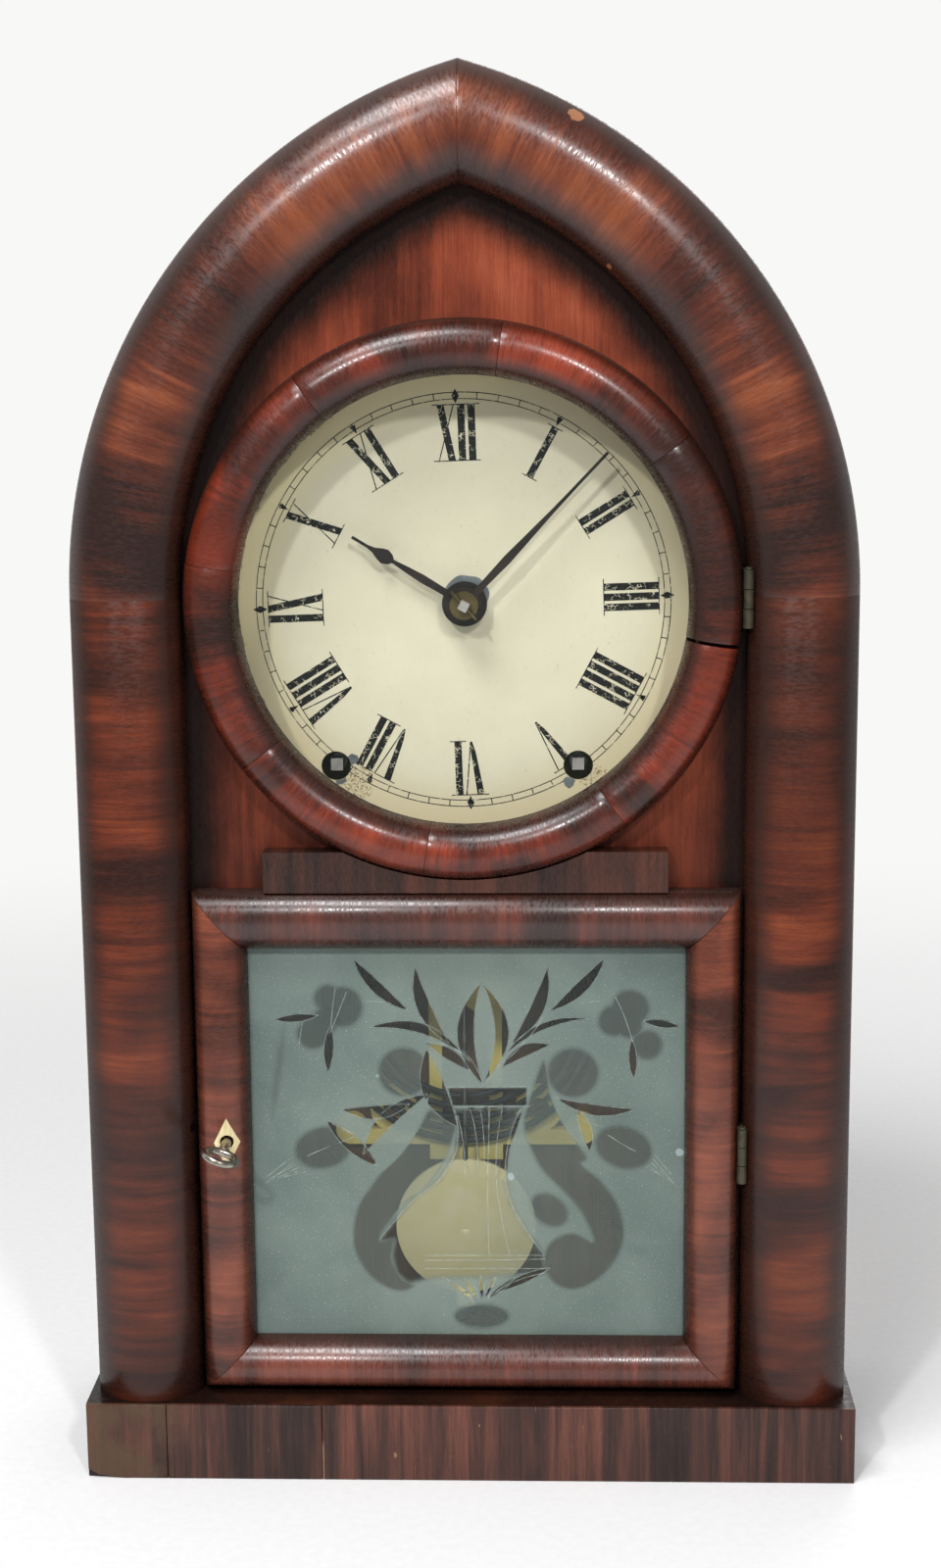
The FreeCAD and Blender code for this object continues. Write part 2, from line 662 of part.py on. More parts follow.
pane_y = (lip, lip + size["glass_thickness"])
bead_y = (lip + size["glass_thickness"], door_back - 0.2)
pane_gap = size["glass_clearance"]
ring_seat = ring_inner + size["rebate_width"] - pane_gap
node("dial_glass", bar_y("DialGlass", as_size(0), ring_height, pane_y, ring_seat))
seat_half = stile_inner + size["rebate_width"] - pane_gap
seat_low = glass_bottom - size["rebate_width"] + pane_gap
seat_high = glass_top + size["rebate_width"] - pane_gap
node("tablet_glass", block("TabletGlass", (-seat_half, seat_half), pane_y, (seat_low, seat_high)))
bead_wide = size["rebate_width"] - 0.8
ring_bead = cut("RingBead", bar_y("RingBeadOuter", as_size(0), ring_height, bead_y, ring_seat),
                bar_y("RingBeadInner", as_size(0), ring_height, (lip, door_back + 1), ring_seat - bead_wide))
node("glazing_beads", together(
    "GlazingBeads", ring_bead,
    block("BeadLeft", (-seat_half, -seat_half + bead_wide), bead_y, (seat_low, seat_high)),
    block("BeadRight", (seat_half - bead_wide, seat_half), bead_y, (seat_low, seat_high)),
    block("BeadLow", (-seat_half + bead_wide, seat_half - bead_wide), bead_y, (seat_low, seat_low + bead_wide)),
    block("BeadHigh", (-seat_half + bead_wide, seat_half - bead_wide), bead_y, (seat_high - bead_wide, seat_high))))

# Back board, its screws, and the rails that carry the movement

plate_y = (size["plate_front"], size["plate_front"] + size["plate_thickness"])
rear_plate_y = (plate_y[1] + size["plate_gap"], plate_y[1] + size["plate_gap"] + size["plate_thickness"])
back = new_body("BackBlank", 0, back_face, 0)
back_corners, back_arcs = arch_outline(size["back_inset"], base_top)
pad(back, outline(back, "BackOutline", "XZ_Plane", back_corners, back_arcs), size["back_thickness"])
screws = []
back_holes = []
side_holes = []
for index, height in enumerate((70, 180, 290)):
    for hand in (-1, 1):
        tag = "BackScrew%d%s" % (index, "L" if hand < 0 else "R")
        across = hand * (half - size["side_thickness"] / 2)
        stem = bar_y(tag + "Stem", across, as_size(height), (back_front - 12, back_face), as_size(1.5))
        cap = bar_y(tag + "Cap", across, as_size(height), (back_face, back_face + 1.2), as_size(3.2))
        screws.append(fuse(tag, stem, cap))
        back_holes.append(stem)
        side_holes.append((hand, stem))
node("back_board", cut("BackBoard", back, *back_holes))
node("case_side_right", cut("SideRightDrilled", side, *[stem for hand, stem in side_holes if hand > 0]))
node("case_side_left", cut("SideLeftDrilled", side_left, *[stem for hand, stem in side_holes if hand < 0]))

plate_left, plate_right = size["plate_left"], size["plate_right"]
plate_low, plate_high = size["plate_bottom"], size["plate_top"]
rail_y = (rear_plate_y[1], back_front)
rail_left = block("RailLeft", (plate_left, plate_left + 14), rail_y, (plate_low - 6, plate_high + 2))
rail_right = block("RailRight", (plate_right - 14, plate_right), rail_y, (plate_low - 6, plate_high + 2))
rail_holes = []
for index, (across, up) in enumerate(((plate_left + 7, plate_low + 6), (plate_left + 7, plate_high - 6),
                                      (plate_right - 7, plate_low + 6), (plate_right - 7, plate_high - 6))):
    stem = bar_y("MovementScrewStem%d" % index, across, up, (rear_plate_y[0], rear_plate_y[1] + 12), as_size(1.6))
    cap = bar_y("MovementScrewCap%d" % index, across, up, (rear_plate_y[0] - 1.4, rear_plate_y[0]), as_size(3.0))
    screws.append(fuse("MovementScrew%d" % index, stem, cap))
    rail_holes.append(stem)
node("movement_rails", together("MovementRails", cut("RailLeftDrilled", rail_left, *rail_holes[:2]),
                                cut("RailRightDrilled", rail_right, *rail_holes[2:])))
node("wood_screws", together("WoodScrews", *screws))

# Dial: zinc plate tacked to two blocks behind the panel

dial_height = size["dial_height"]
dial_half = size["dial_half"]
dial_y = (size["dial_front"], size["dial_front"] + size["dial_thickness"])
dial = block("DialBlank", (-dial_half, dial_half), dial_y, (dial_height - dial_half, dial_height + dial_half))
through = (size["dial_front"] - 1, dial_y[1] + 1)
holes = [bar_y("DialBore", as_size(0), dial_height, through, size["dial_bore"])]
for tag, across in (("Time", size["time_winding_x"]), ("Strike", size["strike_winding_x"])):
    holes.append(bar_y(tag + "WindingHole", across, size["winding_height"], through, size["winding_hole_radius"]))
tacks = []
tack_holes = []
for hand in (-1, 1):
    for level in (-40, 40):
        tag = "Tack%s%s" % ("L" if hand < 0 else "R", "Low" if level < 0 else "High")
        across = hand * (dial_half - 2)
        stem = bar_y(tag + "Stem", across, dial_height + level, (dial_y[0] - 6, dial_y[1]), as_size(0.7))
        cap = bar_y(tag + "Cap", across, dial_height + level, (dial_y[1], dial_y[1] + 0.6), as_size(1.6))
        tacks.append(fuse(tag, stem, cap))
        tack_holes.append(stem)
node("dial_plate", cut("DialPlate", dial, *(holes + tack_holes)))
blocks = []
for hand, stems in ((-1, tack_holes[:2]), (1, tack_holes[2:])):
    tag = "L" if hand < 0 else "R"
    span = (dial_half - 4, dial_half + 8) if hand > 0 else (-dial_half - 8, -dial_half + 4)
    wood = block("DialWood" + tag, span, (panel_back, dial_y[0]), (dial_height - 55, dial_height + 55))
    blocks.append(cut("DialBlock" + tag, wood, *stems))
node("dial_blocks", together("DialBlocks", *blocks))
node("dial_tacks", together("DialTacks", *tacks))

# Movement layout: arbor places follow from tooth numbers, so every pair meshes at rest

doc.recompute()
V = FreeCAD.Vector
ALONG = V(0, 1, 0)
inside = plate_y[1].number
clear = number("running_clearance")
arbor = number("arbor_radius")
centre = (0.0, number("dial_height"))
time_wind = (number("time_winding_x"), number("winding_height"))
strike_wind = (number("strike_winding_x"), number("winding_height"))
GREAT, SECOND_PINION, SECOND, CENTRE_PINION = 60, 10, 48, 12
CENTRE, THIRD_PINION, THIRD, ESCAPE_PINION, ESCAPE = 60, 6, 55, 6, 36
STRIKE_SECOND, STRIKE_THIRD_PINION, STRIKE_THIRD, FLY_PINION = 48, 8, 48, 6
CANNON, MINUTE_WHEEL, MINUTE_PINION, HOUR_WHEEL = 12, 36, 10, 40


def polar(origin, distance, degrees):
    """Point at a distance from another, degrees anticlockwise from +X seen from the front."""
    return (origin[0] + distance * math.cos(math.radians(degrees)),
            origin[1] + distance * math.sin(math.radians(degrees)))


def heading(origin, target):
    return math.degrees(math.atan2(target[1] - origin[1], target[0] - origin[0]))


def meet(first, first_distance, second, second_distance):
    """Point at given distances from two others, on the right-hand side of the line between them."""
    span = math.dist(first, second)
    along = (first_distance ** 2 - second_distance ** 2 + span ** 2) / (2 * span)
    off = math.sqrt(first_distance ** 2 - along ** 2)
    direction = heading(first, second)
    foot = polar(first, along, direction)
    return polar(foot, off, direction - 90)


reach = 1.03 * math.dist(time_wind, centre)
great_distance = 0.525 * reach
second_distance = 0.475 * reach
great_module = 2 * great_distance / (GREAT + SECOND_PINION)
second_module = 2 * second_distance / (SECOND + CENTRE_PINION)
centre_module = 0.75
third_module = 0.68
time_second = meet(time_wind, great_distance, centre, second_distance)
time_third = polar(centre, centre_module * (CENTRE + THIRD_PINION) / 2, 55)
pendulum_x = number("pendulum_side")
escape_distance = third_module * (THIRD + ESCAPE_PINION) / 2
escape_rise = math.sqrt(escape_distance ** 2 - (time_third[0] - pendulum_x) ** 2)
escape = (pendulum_x, time_third[1] + escape_rise)
verge = (pendulum_x, number("bob_height") + number("pendulum_length"))
strike_module = 0.9
strike_third_module = 0.7
strike_second = polar(strike_wind, great_module * (GREAT + SECOND_PINION) / 2, 75.5)
strike_third = polar(strike_second, strike_module * (STRIKE_SECOND + STRIKE_THIRD_PINION) / 2, 75.5)
fly = polar(strike_third, strike_third_module * (STRIKE_THIRD + FLY_PINION) / 2, 96)
motion_module = 0.6
motion_distance = motion_module * (CANNON + MINUTE_WHEEL) / 2
hour_module = 2 * motion_distance / (MINUTE_PINION + HOUR_WHEEL)
minute_post = polar(centre, motion_distance, -50)
hammer_pivot = (pendulum_x, number("hammer_height"))
lever_pivot = (pendulum_x - 7, number("hammer_height") + 22)


def cylinder(place_xz, radius, y0, y1):
    return Part.makeCylinder(radius, y1 - y0, V(place_xz[0], y0, place_xz[1]), ALONG)


def prism(points, y0, y1):
    """Flat-sided piece from corner points in the front view."""
    corners = [V(x, y0, z) for x, z in points]
    return Part.Face(Part.makePolygon(corners + corners[:1])).extrude(V(0, y1 - y0, 0))


def teeth(place_xz, count, module, y0, y1, phase, pinion=False):
    """Wheel or pinion with straight-flanked teeth; phase is the direction of one tooth."""
    radius = count * module / 2
    tip = radius + (0.55 if pinion else 0.85) * module
    root = radius - 1.25 * module
    tip_half = 0.07 if pinion else 0.08
    root_half = 0.17 if pinion else 0.22
    pitch = 360.0 / count
    points = []
    for index in range(count):
        middle = phase + index * pitch
        points.append(polar(place_xz, root, middle - root_half * pitch))
        points.append(polar(place_xz, tip, middle - tip_half * pitch))
        points.append(polar(place_xz, tip, middle + tip_half * pitch))
        points.append(polar(place_xz, root, middle + root_half * pitch))
    return prism(points, y0, y1)


def mating_phase(driver, driver_count, driver_phase, driven, driven_count):
    """Phase of the driven teeth so that a tooth stands opposite a gap."""
    line = heading(driver, driven)
    share = (line - driver_phase) * driver_count / 360.0
    return line + 180 - (0.5 - share) * 360.0 / driven_count


def made(label, name, solids):
    """Piece made of one fused solid or several separate ones."""
    thing = doc.addObject("Part::Feature", name)
    thing.Shape = solids[0] if len(solids) == 1 else Part.makeCompound(solids)
    return node(label, thing)


def joined(*solids):
    whole = solids[0].fuse(list(solids[1:]))
    return whole.removeSplitter()


GREAT_Y = (inside + 14.8, inside + 16.8)
SECOND_Y = (inside + 17.6, inside + 19.2)
CENTRE_Y = (inside + 3.4, inside + 4.8)
THIRD_Y = (inside + 11.4, inside + 12.8)
ESCAPE_Y = (inside + 15.4, inside + 16.6)
COUNT_Y = (inside + 20.4, inside + 21.6)
STRIKE_THIRD_Y = (inside + 7.9, inside + 9.3)
shaft_y = (plate_y[0].number, rear_plate_y[1].number)
inside_back = rear_plate_y[0].number


def wheel_set(label, name, place_xz, wheel, pinion, bore=0):
    """Arbor with a wheel and a pinion: each is (count, module, y span, phase)."""
    parts = []
    if wheel:
        parts.append(teeth(place_xz, wheel[0], wheel[1], wheel[2][0], wheel[2][1], wheel[3]))
    if pinion:
        parts.append(teeth(place_xz, pinion[0], pinion[1], pinion[2][0], pinion[2][1], pinion[3], True))
    if bore:
        low = min(span[2][0] for span in (wheel, pinion))
        high = max(span[2][1] for span in (wheel, pinion))
        solid = joined(cylinder(place_xz, bore + 1.2, low, high), *parts)
        return made(label, name, [solid.cut(cylinder(place_xz, bore, low - 1, high + 1))])
    return made(label, name, [joined(cylinder(place_xz, arbor, shaft_y[0], shaft_y[1]), *parts)])


def wider(span, margin=0.4):
    return (span[0] - margin, span[1] + margin)


# Great wheels, loose on their winding arbors, each with a click on its front face

wind_radius = number("winding_arbor_radius")
ratchet_tip = wind_radius + 6.0


def great_wheel(label, name, place_xz, phase, extra=None):
    disc = teeth(place_xz, GREAT, great_module, GREAT_Y[0], GREAT_Y[1], phase)
    bore = cylinder(place_xz, wind_radius + clear, GREAT_Y[0] - 1, COUNT_Y[1] + 1)
    hub = cylinder(place_xz, wind_radius + 2.0, GREAT_Y[0], COUNT_Y[1])
    solids = [joined(disc, hub).cut(bore)]
    click = [polar(place_xz, 16.5, 20), polar(place_xz, 16.5, 38), polar(place_xz, ratchet_tip + 1.8, 62),
             polar(place_xz, ratchet_tip + 0.4, 60), polar(place_xz, 13.0, 32), polar(place_xz, 13.0, 20)]
    solids.append(prism(click, GREAT_Y[0] - 2.0, GREAT_Y[0]))
    if extra:
        solids.append(extra)
    return made(label, name, solids)


def winding_arbor(label, name, place_xz):
    parts = [cylinder(place_xz, wind_radius, shaft_y[0], shaft_y[1])]
    saw = []
    for index in range(14):
        saw.append(polar(place_xz, ratchet_tip, index * 360 / 14))
        saw.append(polar(place_xz, ratchet_tip - 1.6, index * 360 / 14 + 3))
    parts.append(prism(saw, GREAT_Y[0] - 2.4, GREAT_Y[0] - 0.3))
    reach_half = number("winding_square") / 2
    x, z = place_xz
    square = [(x - reach_half, z - reach_half), (x + reach_half, z - reach_half),
              (x + reach_half, z + reach_half), (x - reach_half, z + reach_half)]
    parts.append(prism(square, shaft_y[0] - 7.0, shaft_y[0] + 0.5))
    return made(label, name, [joined(*parts)])


def count_wheel(place_xz):
    """Disc with a notch after each hour's run of blows, pressed on the great wheel's hub."""
    disc = cylinder(place_xz, 20.0, COUNT_Y[0], COUNT_Y[1]).cut(
        cylinder(place_xz, wind_radius + 2.0, COUNT_Y[0] - 1, COUNT_Y[1] + 1))
    blows = 0
    for hour in range(1, 13):
        blows += hour + 1
        angle = blows * 360.0 / 90
        notch = [polar(place_xz, 18.2, angle - 2), polar(place_xz, 21, angle - 2),
                 polar(place_xz, 21, angle + 2), polar(place_xz, 18.2, angle + 2)]
        disc = disc.cut(prism(notch, COUNT_Y[0] - 1, COUNT_Y[1] + 1))
    return disc


winding_arbor("time_winding_arbor", "TimeWindingArbor", time_wind)
winding_arbor("strike_winding_arbor", "StrikeWindingArbor", strike_wind)
great_wheel("time_great_wheel", "TimeGreatWheel", time_wind, 0)
great_wheel("strike_great_wheel", "StrikeGreatWheel", strike_wind, 0, count_wheel(strike_wind))

# Going train

wheel_set("time_second_wheel", "TimeSecondWheel", time_second,
          (SECOND, second_module, SECOND_Y, 0),
          (SECOND_PINION, great_module, wider(GREAT_Y),
           mating_phase(time_wind, GREAT, 0, time_second, SECOND_PINION)))
wheel_set("centre_wheel", "CentreWheel", centre,
          (CENTRE, centre_module, CENTRE_Y, 0),
          (CENTRE_PINION, second_module, wider(SECOND_Y),
           mating_phase(time_second, SECOND, 0, centre, CENTRE_PINION)),
          number("minute_arbor_radius") + clear)
wheel_set("third_wheel", "ThirdWheel", time_third,
          (THIRD, third_module, THIRD_Y, 0),
          (THIRD_PINION, centre_module, wider(CENTRE_Y),
           mating_phase(centre, CENTRE, 0, time_third, THIRD_PINION)))
escape_tip = 15.0
saw = []
for index in range(ESCAPE):
    saw.append(polar(escape, escape_tip, index * 360.0 / ESCAPE))
    saw.append(polar(escape, escape_tip - 2.0, index * 360.0 / ESCAPE + 2.5))
escape_pinion = teeth(escape, ESCAPE_PINION, third_module, wider(THIRD_Y)[0], wider(THIRD_Y)[1],
                      mating_phase(time_third, THIRD, 0, escape, ESCAPE_PINION), True)
made("escape_wheel", "EscapeWheel", [joined(cylinder(escape, arbor, shaft_y[0], shaft_y[1]), escape_pinion,
                                            prism(saw, ESCAPE_Y[0], ESCAPE_Y[1]))])

# Verge with its crutch, on the same axis as the suspension

pendulum_y = number("pendulum_depth")
anchor = [(-12.5, -10), (-11.3, -10), (-9.6, -5), (-2.5, -1.8), (2.5, -1.8), (9.6, -5), (11.3, -10), (12.5, -10),
          (11, -4), (3, 2.5), (-3, 2.5), (-11, -4)]
anchor = [(verge[0] + x, verge[1] + z) for x, z in anchor]
crutch_y = shaft_y[1] + 0.8
rod = number("rod_radius")


def brick(x0, x1, y0, y1, z0, z1):
    return Part.makeBox(x1 - x0, y1 - y0, z1 - z0, V(x0, y0, z0))


fork_low = verge[1] - 62
fork = [brick(verge[0] - 0.8, verge[0] + 0.8, crutch_y, crutch_y + 1.6, fork_low, verge[1]),
        brick(verge[0] - rod - 1.4, verge[0] + rod + 1.4, crutch_y, crutch_y + 1.6, fork_low, fork_low + 4)]
for hand in (-1, 1):
    inner = verge[0] + hand * (rod + 0.4)
    outer = verge[0] + hand * (rod + 1.4)
    fork.append(brick(min(inner, outer), max(inner, outer), crutch_y, pendulum_y + 1.6, fork_low, fork_low + 4))
made("verge", "Verge", [joined(cylinder(verge, arbor, shaft_y[0], crutch_y + 1.6),
                               prism(anchor, ESCAPE_Y[0] - 0.6, ESCAPE_Y[1] + 0.6), *fork)])

# Suspension cock on the back plate, pendulum rod with its spring, bob and rating nut

cock = brick(verge[0] - 4, verge[0] + 4, shaft_y[1], pendulum_y + 3, verge[1] + 2, verge[1] + 9)
cock_slot = brick(verge[0] - 0.6, verge[0] + 0.6, pendulum_y - 2.4, pendulum_y + 4, verge[1] + 1, verge[1] + 6)
made("suspension_cock", "SuspensionCock", [cock.cut(cock_slot)])
verge_z = size["bob_height"] + size["pendulum_length"]
bob_z = size["bob_height"]
bob_foot = bob_z - size["bob_radius"]
swing_x, swing_y = size["pendulum_side"], size["pendulum_depth"]
rod_radius = size["rod_radius"]
node("pendulum_rod", fuse(
    "PendulumRod",
    bar_z("RodStem", swing_x, swing_y, (bob_foot - 6.5, verge_z - 12), rod_radius),
    block("SuspensionSpring", (swing_x - 0.15, swing_x + 0.15), (swing_y - 2, swing_y + 2),
          (verge_z - 16, verge_z + 3.5))))
bob = new_body("BobLens", swing_x, swing_y, bob_z)
bob_half = size["bob_thickness"] / 2
bob_rim = size["bob_edge"] / 2
bulge = bob_half - bob_rim
lens = (size["bob_radius"] * size["bob_radius"] + bulge * bulge) / (2 * bulge)
revolve(bob, outline(bob, "BobSection", "XY_Plane",
                     [(0, -bob_half), (size["bob_radius"], -bob_rim), (size["bob_radius"], bob_rim), (0, bob_half)],
                     {0: (0, lens - bob_half, lens, 1), 2: (0, bob_half - lens, lens, 1)}), 360)
rod_hole = bar_z("RodHole", swing_x, swing_y, (bob_foot - 20, bob_z + 60), rod_radius)
nut = bar_z("RatingNut", swing_x, swing_y, (bob_foot - 4.5, bob_foot - 0.5), as_size(4.0))
node("pendulum_bob", together("PendulumBob", cut("BobDrilled", bob, rod_hole), cut("NutDrilled", nut, rod_hole)))

# Strike train: pin wheel, third wheel, fly, count lever and hammer

pin_y = (SECOND_Y[1], inside + 23.4)
pins = []
for index in range(8):
    pins.append(cylinder(polar(strike_second, 10.0, index * 45), 0.8, SECOND_Y[0], pin_y[1]))
strike_pinion = teeth(strike_second, SECOND_PINION, great_module, wider(GREAT_Y)[0], wider(GREAT_Y)[1],
                      mating_phase(strike_wind, GREAT, 0, strike_second, SECOND_PINION), True)
made("strike_pin_wheel", "StrikePinWheel", [joined(
    cylinder(strike_second, arbor, shaft_y[0], shaft_y[1]), strike_pinion,
    teeth(strike_second, STRIKE_SECOND, strike_module, SECOND_Y[0], SECOND_Y[1], 0), *pins)])
wheel_set("strike_third_wheel", "StrikeThirdWheel", strike_third,
          (STRIKE_THIRD, strike_third_module, STRIKE_THIRD_Y, 0),
          (STRIKE_THIRD_PINION, strike_module, wider(SECOND_Y),
           mating_phase(strike_second, STRIKE_SECOND, 0, strike_third, STRIKE_THIRD_PINION)))
fly_pinion = teeth(fly, FLY_PINION, strike_third_module, wider(STRIKE_THIRD_Y)[0], wider(STRIKE_THIRD_Y)[1],
                   mating_phase(strike_third, STRIKE_THIRD, 0, fly, FLY_PINION), True)
vane = brick(fly[0] - 10, fly[0] + 10, inside + 11, inside + 21, fly[1] - 0.4, fly[1] + 0.4)
made("fly", "Fly", [joined(cylinder(fly, arbor, shaft_y[0], shaft_y[1]), fly_pinion, vane)])


def wire(first, last, radius):
    start, end = V(*first), V(*last)
    return Part.makeCylinder(radius, (end - start).Length, start, end - start)


lever_y = (COUNT_Y[0] + COUNT_Y[1]) / 2
lever_tip = polar(strike_wind, 21.2, heading(strike_wind, lever_pivot))
made("count_lever", "CountLever", [joined(
    cylinder(lever_pivot, 1.0, shaft_y[0], shaft_y[1]),
    wire((lever_pivot[0], lever_y, lever_pivot[1]), (lever_tip[0], lever_y, lever_tip[1]), 0.5))])

gong_centre = (pendulum_x, number("gong_height"))
gong_outer = number("gong_radius")
gong_wire = number("gong_wire")
gong_y = number("gong_depth")
strike_line = 126.0
head_middle = polar(gong_centre, gong_outer + gong_wire + 5.2, strike_line)
head_near = polar(gong_centre, gong_outer + gong_wire + 1.2, strike_line)
head_far = polar(gong_centre, gong_outer + gong_wire + 9.2, strike_line)
arm_y = inside + 22.7
tail_tip = polar(strike_second, 12.4, heading(strike_second, hammer_pivot))
made("hammer", "Hammer", [joined(
    cylinder(hammer_pivot, arbor, shaft_y[0], shaft_y[1]),
    wire((hammer_pivot[0], arm_y, hammer_pivot[1]), (tail_tip[0], arm_y, tail_tip[1]), 0.8),
    wire((hammer_pivot[0], arm_y, hammer_pivot[1]), (head_middle[0], arm_y, head_middle[1]), 0.8),
    Part.makeSphere(0.8, V(head_middle[0], arm_y, head_middle[1])),
    wire((head_middle[0], arm_y, head_middle[1]), (head_middle[0], gong_y, head_middle[1]), 0.8),
    wire((head_near[0], gong_y, head_near[1]), (head_far[0], gong_y, head_far[1]), 3.6))])

# Gong: one unbroken wire wound inwards in half turns, its inner end let into the stand's boss


def wound(centre_xz, outer, pitch, half_turns, y):
    """Edges of a flat spiral: half circles about two centres, each smaller by half a pitch."""
    edges = []
    points = []
    x, z = centre_xz
    radius = outer
    middle = z
    sign = 1
    for index in range(half_turns):
        top = V(x, y, middle + sign * radius)
        end = V(x, y, middle - sign * radius)
        bulge = V(x - sign * radius, y, middle)
        edges.append(Part.Arc(top, bulge, end).toShape())
        for step in range(12):
            turn = math.pi * step / 12
            points.append((index + step / 12, V(x - sign * radius * math.sin(turn), y,
                                                middle + sign * radius * math.cos(turn))))
        middle = middle - sign * radius + sign * (radius - pitch / 2)
        radius -= pitch / 2
        sign = -sign
    return edges, points


half_turns = 10
edges, loop_points = wound(gong_centre, gong_outer, number("gong_pitch"), half_turns, gong_y)
last_end = edges[-1].valueAt(edges[-1].LastParameter)
crook = number("gong_crook")
crook_end = V(last_end.x, gong_y, last_end.z - 2 * crook)
edges.append(Part.Arc(last_end, V(last_end.x - crook, gong_y, last_end.z - crook), crook_end).toShape())
boss_place = (crook_end.x + 8, crook_end.z)
edges.append(Part.LineSegment(crook_end, V(boss_place[0], gong_y, boss_place[1])).toShape())
spine = Part.Wire(edges)
start = edges[0].valueAt(edges[0].FirstParameter)
ring_face = Part.Wire(Part.Circle(start, edges[0].tangentAt(edges[0].FirstParameter), gong_wire).toShape())
shell = Part.BRepOffsetAPI.MakePipeShell(spine)
shell.add(ring_face)
shell.build()
shell.makeSolid()
coil = shell.shape()
if coil.Volume < 0:
    coil.reverse()
least = min((a[1] - b[1]).Length for a in loop_points for b in loop_points if b[0] - a[0] > 1.0)
print("gong coil: least gap to itself %.2f mm" % (least - 2 * gong_wire))
boss_end_y = back_front.number
boss = cylinder(boss_place, 6.0, gong_y - 3.4, boss_end_y)
made("gong_coil", "GongCoil", [coil])

stand_y = (boss_end_y - number("stand_thickness"), boss_end_y)
foot_z = number("gong_height") - 62
stand_parts = [boss, cylinder(boss_place, 11.0, stand_y[0], stand_y[1])]
for hand in (-1, 1):
    strip = pendulum_x + hand * 11.5
    stand_parts.append(brick(strip - 2.4, strip + 2.4, stand_y[0], stand_y[1], foot_z + 2, boss_place[1] + 8))
    scroll = (pendulum_x + hand * 27.6, foot_z + 20)
    stand_parts.append(cylinder(scroll, 9.0, stand_y[0], stand_y[1]).cut(
        cylinder(scroll, 4.4, stand_y[0] - 1, stand_y[1] + 1)))
    tip = (pendulum_x + hand * 44, foot_z + 12)
    stand_parts.append(cylinder(tip, 6.0, stand_y[0], stand_y[1]))
    low_corner, high_corner = sorted((strip, pendulum_x + hand * 44))
    stand_parts.append(brick(low_corner, high_corner, stand_y[0], stand_y[1], foot_z + 6, foot_z + 12))
stand_parts.append(brick(pendulum_x - 14, pendulum_x + 14, stand_y[0], stand_y[1], foot_z, foot_z + 7))
stand_parts.append(brick(min(boss_place[0], pendulum_x) - 14, pendulum_x + 14, stand_y[0], stand_y[1],
                         boss_place[1] + 2, boss_place[1] + 8))
stand = joined(*stand_parts).cut(coil)
made("gong_stand", "GongStand", [stand])

# Mainsprings: flat strip wound inwards, clear of the arbor that winds it

spring_y = (inside + 1.0, inside + 1.0 + number("spring_tall"))
springs = []
for place_xz in (time_wind, strike_wind):
    strip_radius = number("spring_radius")
    thick = number("spring_strip")
    turns = int((strip_radius - wind_radius - 1.8) / (number("spring_pitch") / 2))
    outer_edges, unused = wound(place_xz, strip_radius, number("spring_pitch"), turns, spring_y[0])
    inner_edges, unused = wound(place_xz, strip_radius - thick, number("spring_pitch"), turns, spring_y[0])
    outer_start = outer_edges[0].valueAt(outer_edges[0].FirstParameter)
    inner_start = inner_edges[0].valueAt(inner_edges[0].FirstParameter)
    outer_end = outer_edges[-1].valueAt(outer_edges[-1].LastParameter)
    inner_end = inner_edges[-1].valueAt(inner_edges[-1].LastParameter)
    loop = outer_edges + [Part.makeLine(outer_end, inner_end)] + inner_edges + [Part.makeLine(inner_start, outer_start)]
    strip_face = Part.Face(Part.Wire(Part.__sortEdges__(loop)))
    springs.append(strip_face.extrude(V(0, spring_y[1] - spring_y[0], 0)))
made("mainsprings", "Mainsprings", springs)

# Motion work and hands

minute_radius = number("minute_arbor_radius")
hour_y = size["dial_front"].number - 5.6
minute_y = hour_y - 4.8
thin = number("hand_thickness")
collet_y = (minute_y - 1.8, minute_y)
square_half = number("minute_square") / 2


def square_bar(half_side, y0, y1, degrees=0.0):
    corners = [polar(centre, half_side * math.sqrt(2), degrees + 45 + 90 * index) for index in range(4)]
    return prism(corners, y0, y1)


pin_turn = 135.0 - 4.0
pin_from = polar(centre, 6.4, pin_turn)
pin_to = polar(centre, 6.4, pin_turn + 180)
pin_level = collet_y[0] - 0.6
hand_pin = wire((pin_from[0], pin_level, pin_from[1]), (pin_to[0], pin_level, pin_to[1]), 0.55)
square_turn = 62.0
minute_bar = joined(cylinder(centre, minute_radius, minute_y + thin, shaft_y[1]),
                    square_bar(square_half, pin_level - 2.6, minute_y + thin + 0.5, square_turn),
                    teeth(centre, CANNON, motion_module, shaft_y[0] - 2.6, shaft_y[0] - 0.6, 0.0, True))
made("minute_arbor", "MinuteArbor", [minute_bar.cut(hand_pin)])
collet = cylinder(centre, number("collet_radius"), collet_y[0], collet_y[1])
collet = collet.cut(square_bar(square_half, collet_y[0] - 1, collet_y[1] + 1, square_turn))
made("hand_collet", "HandCollet", [collet, hand_pin])

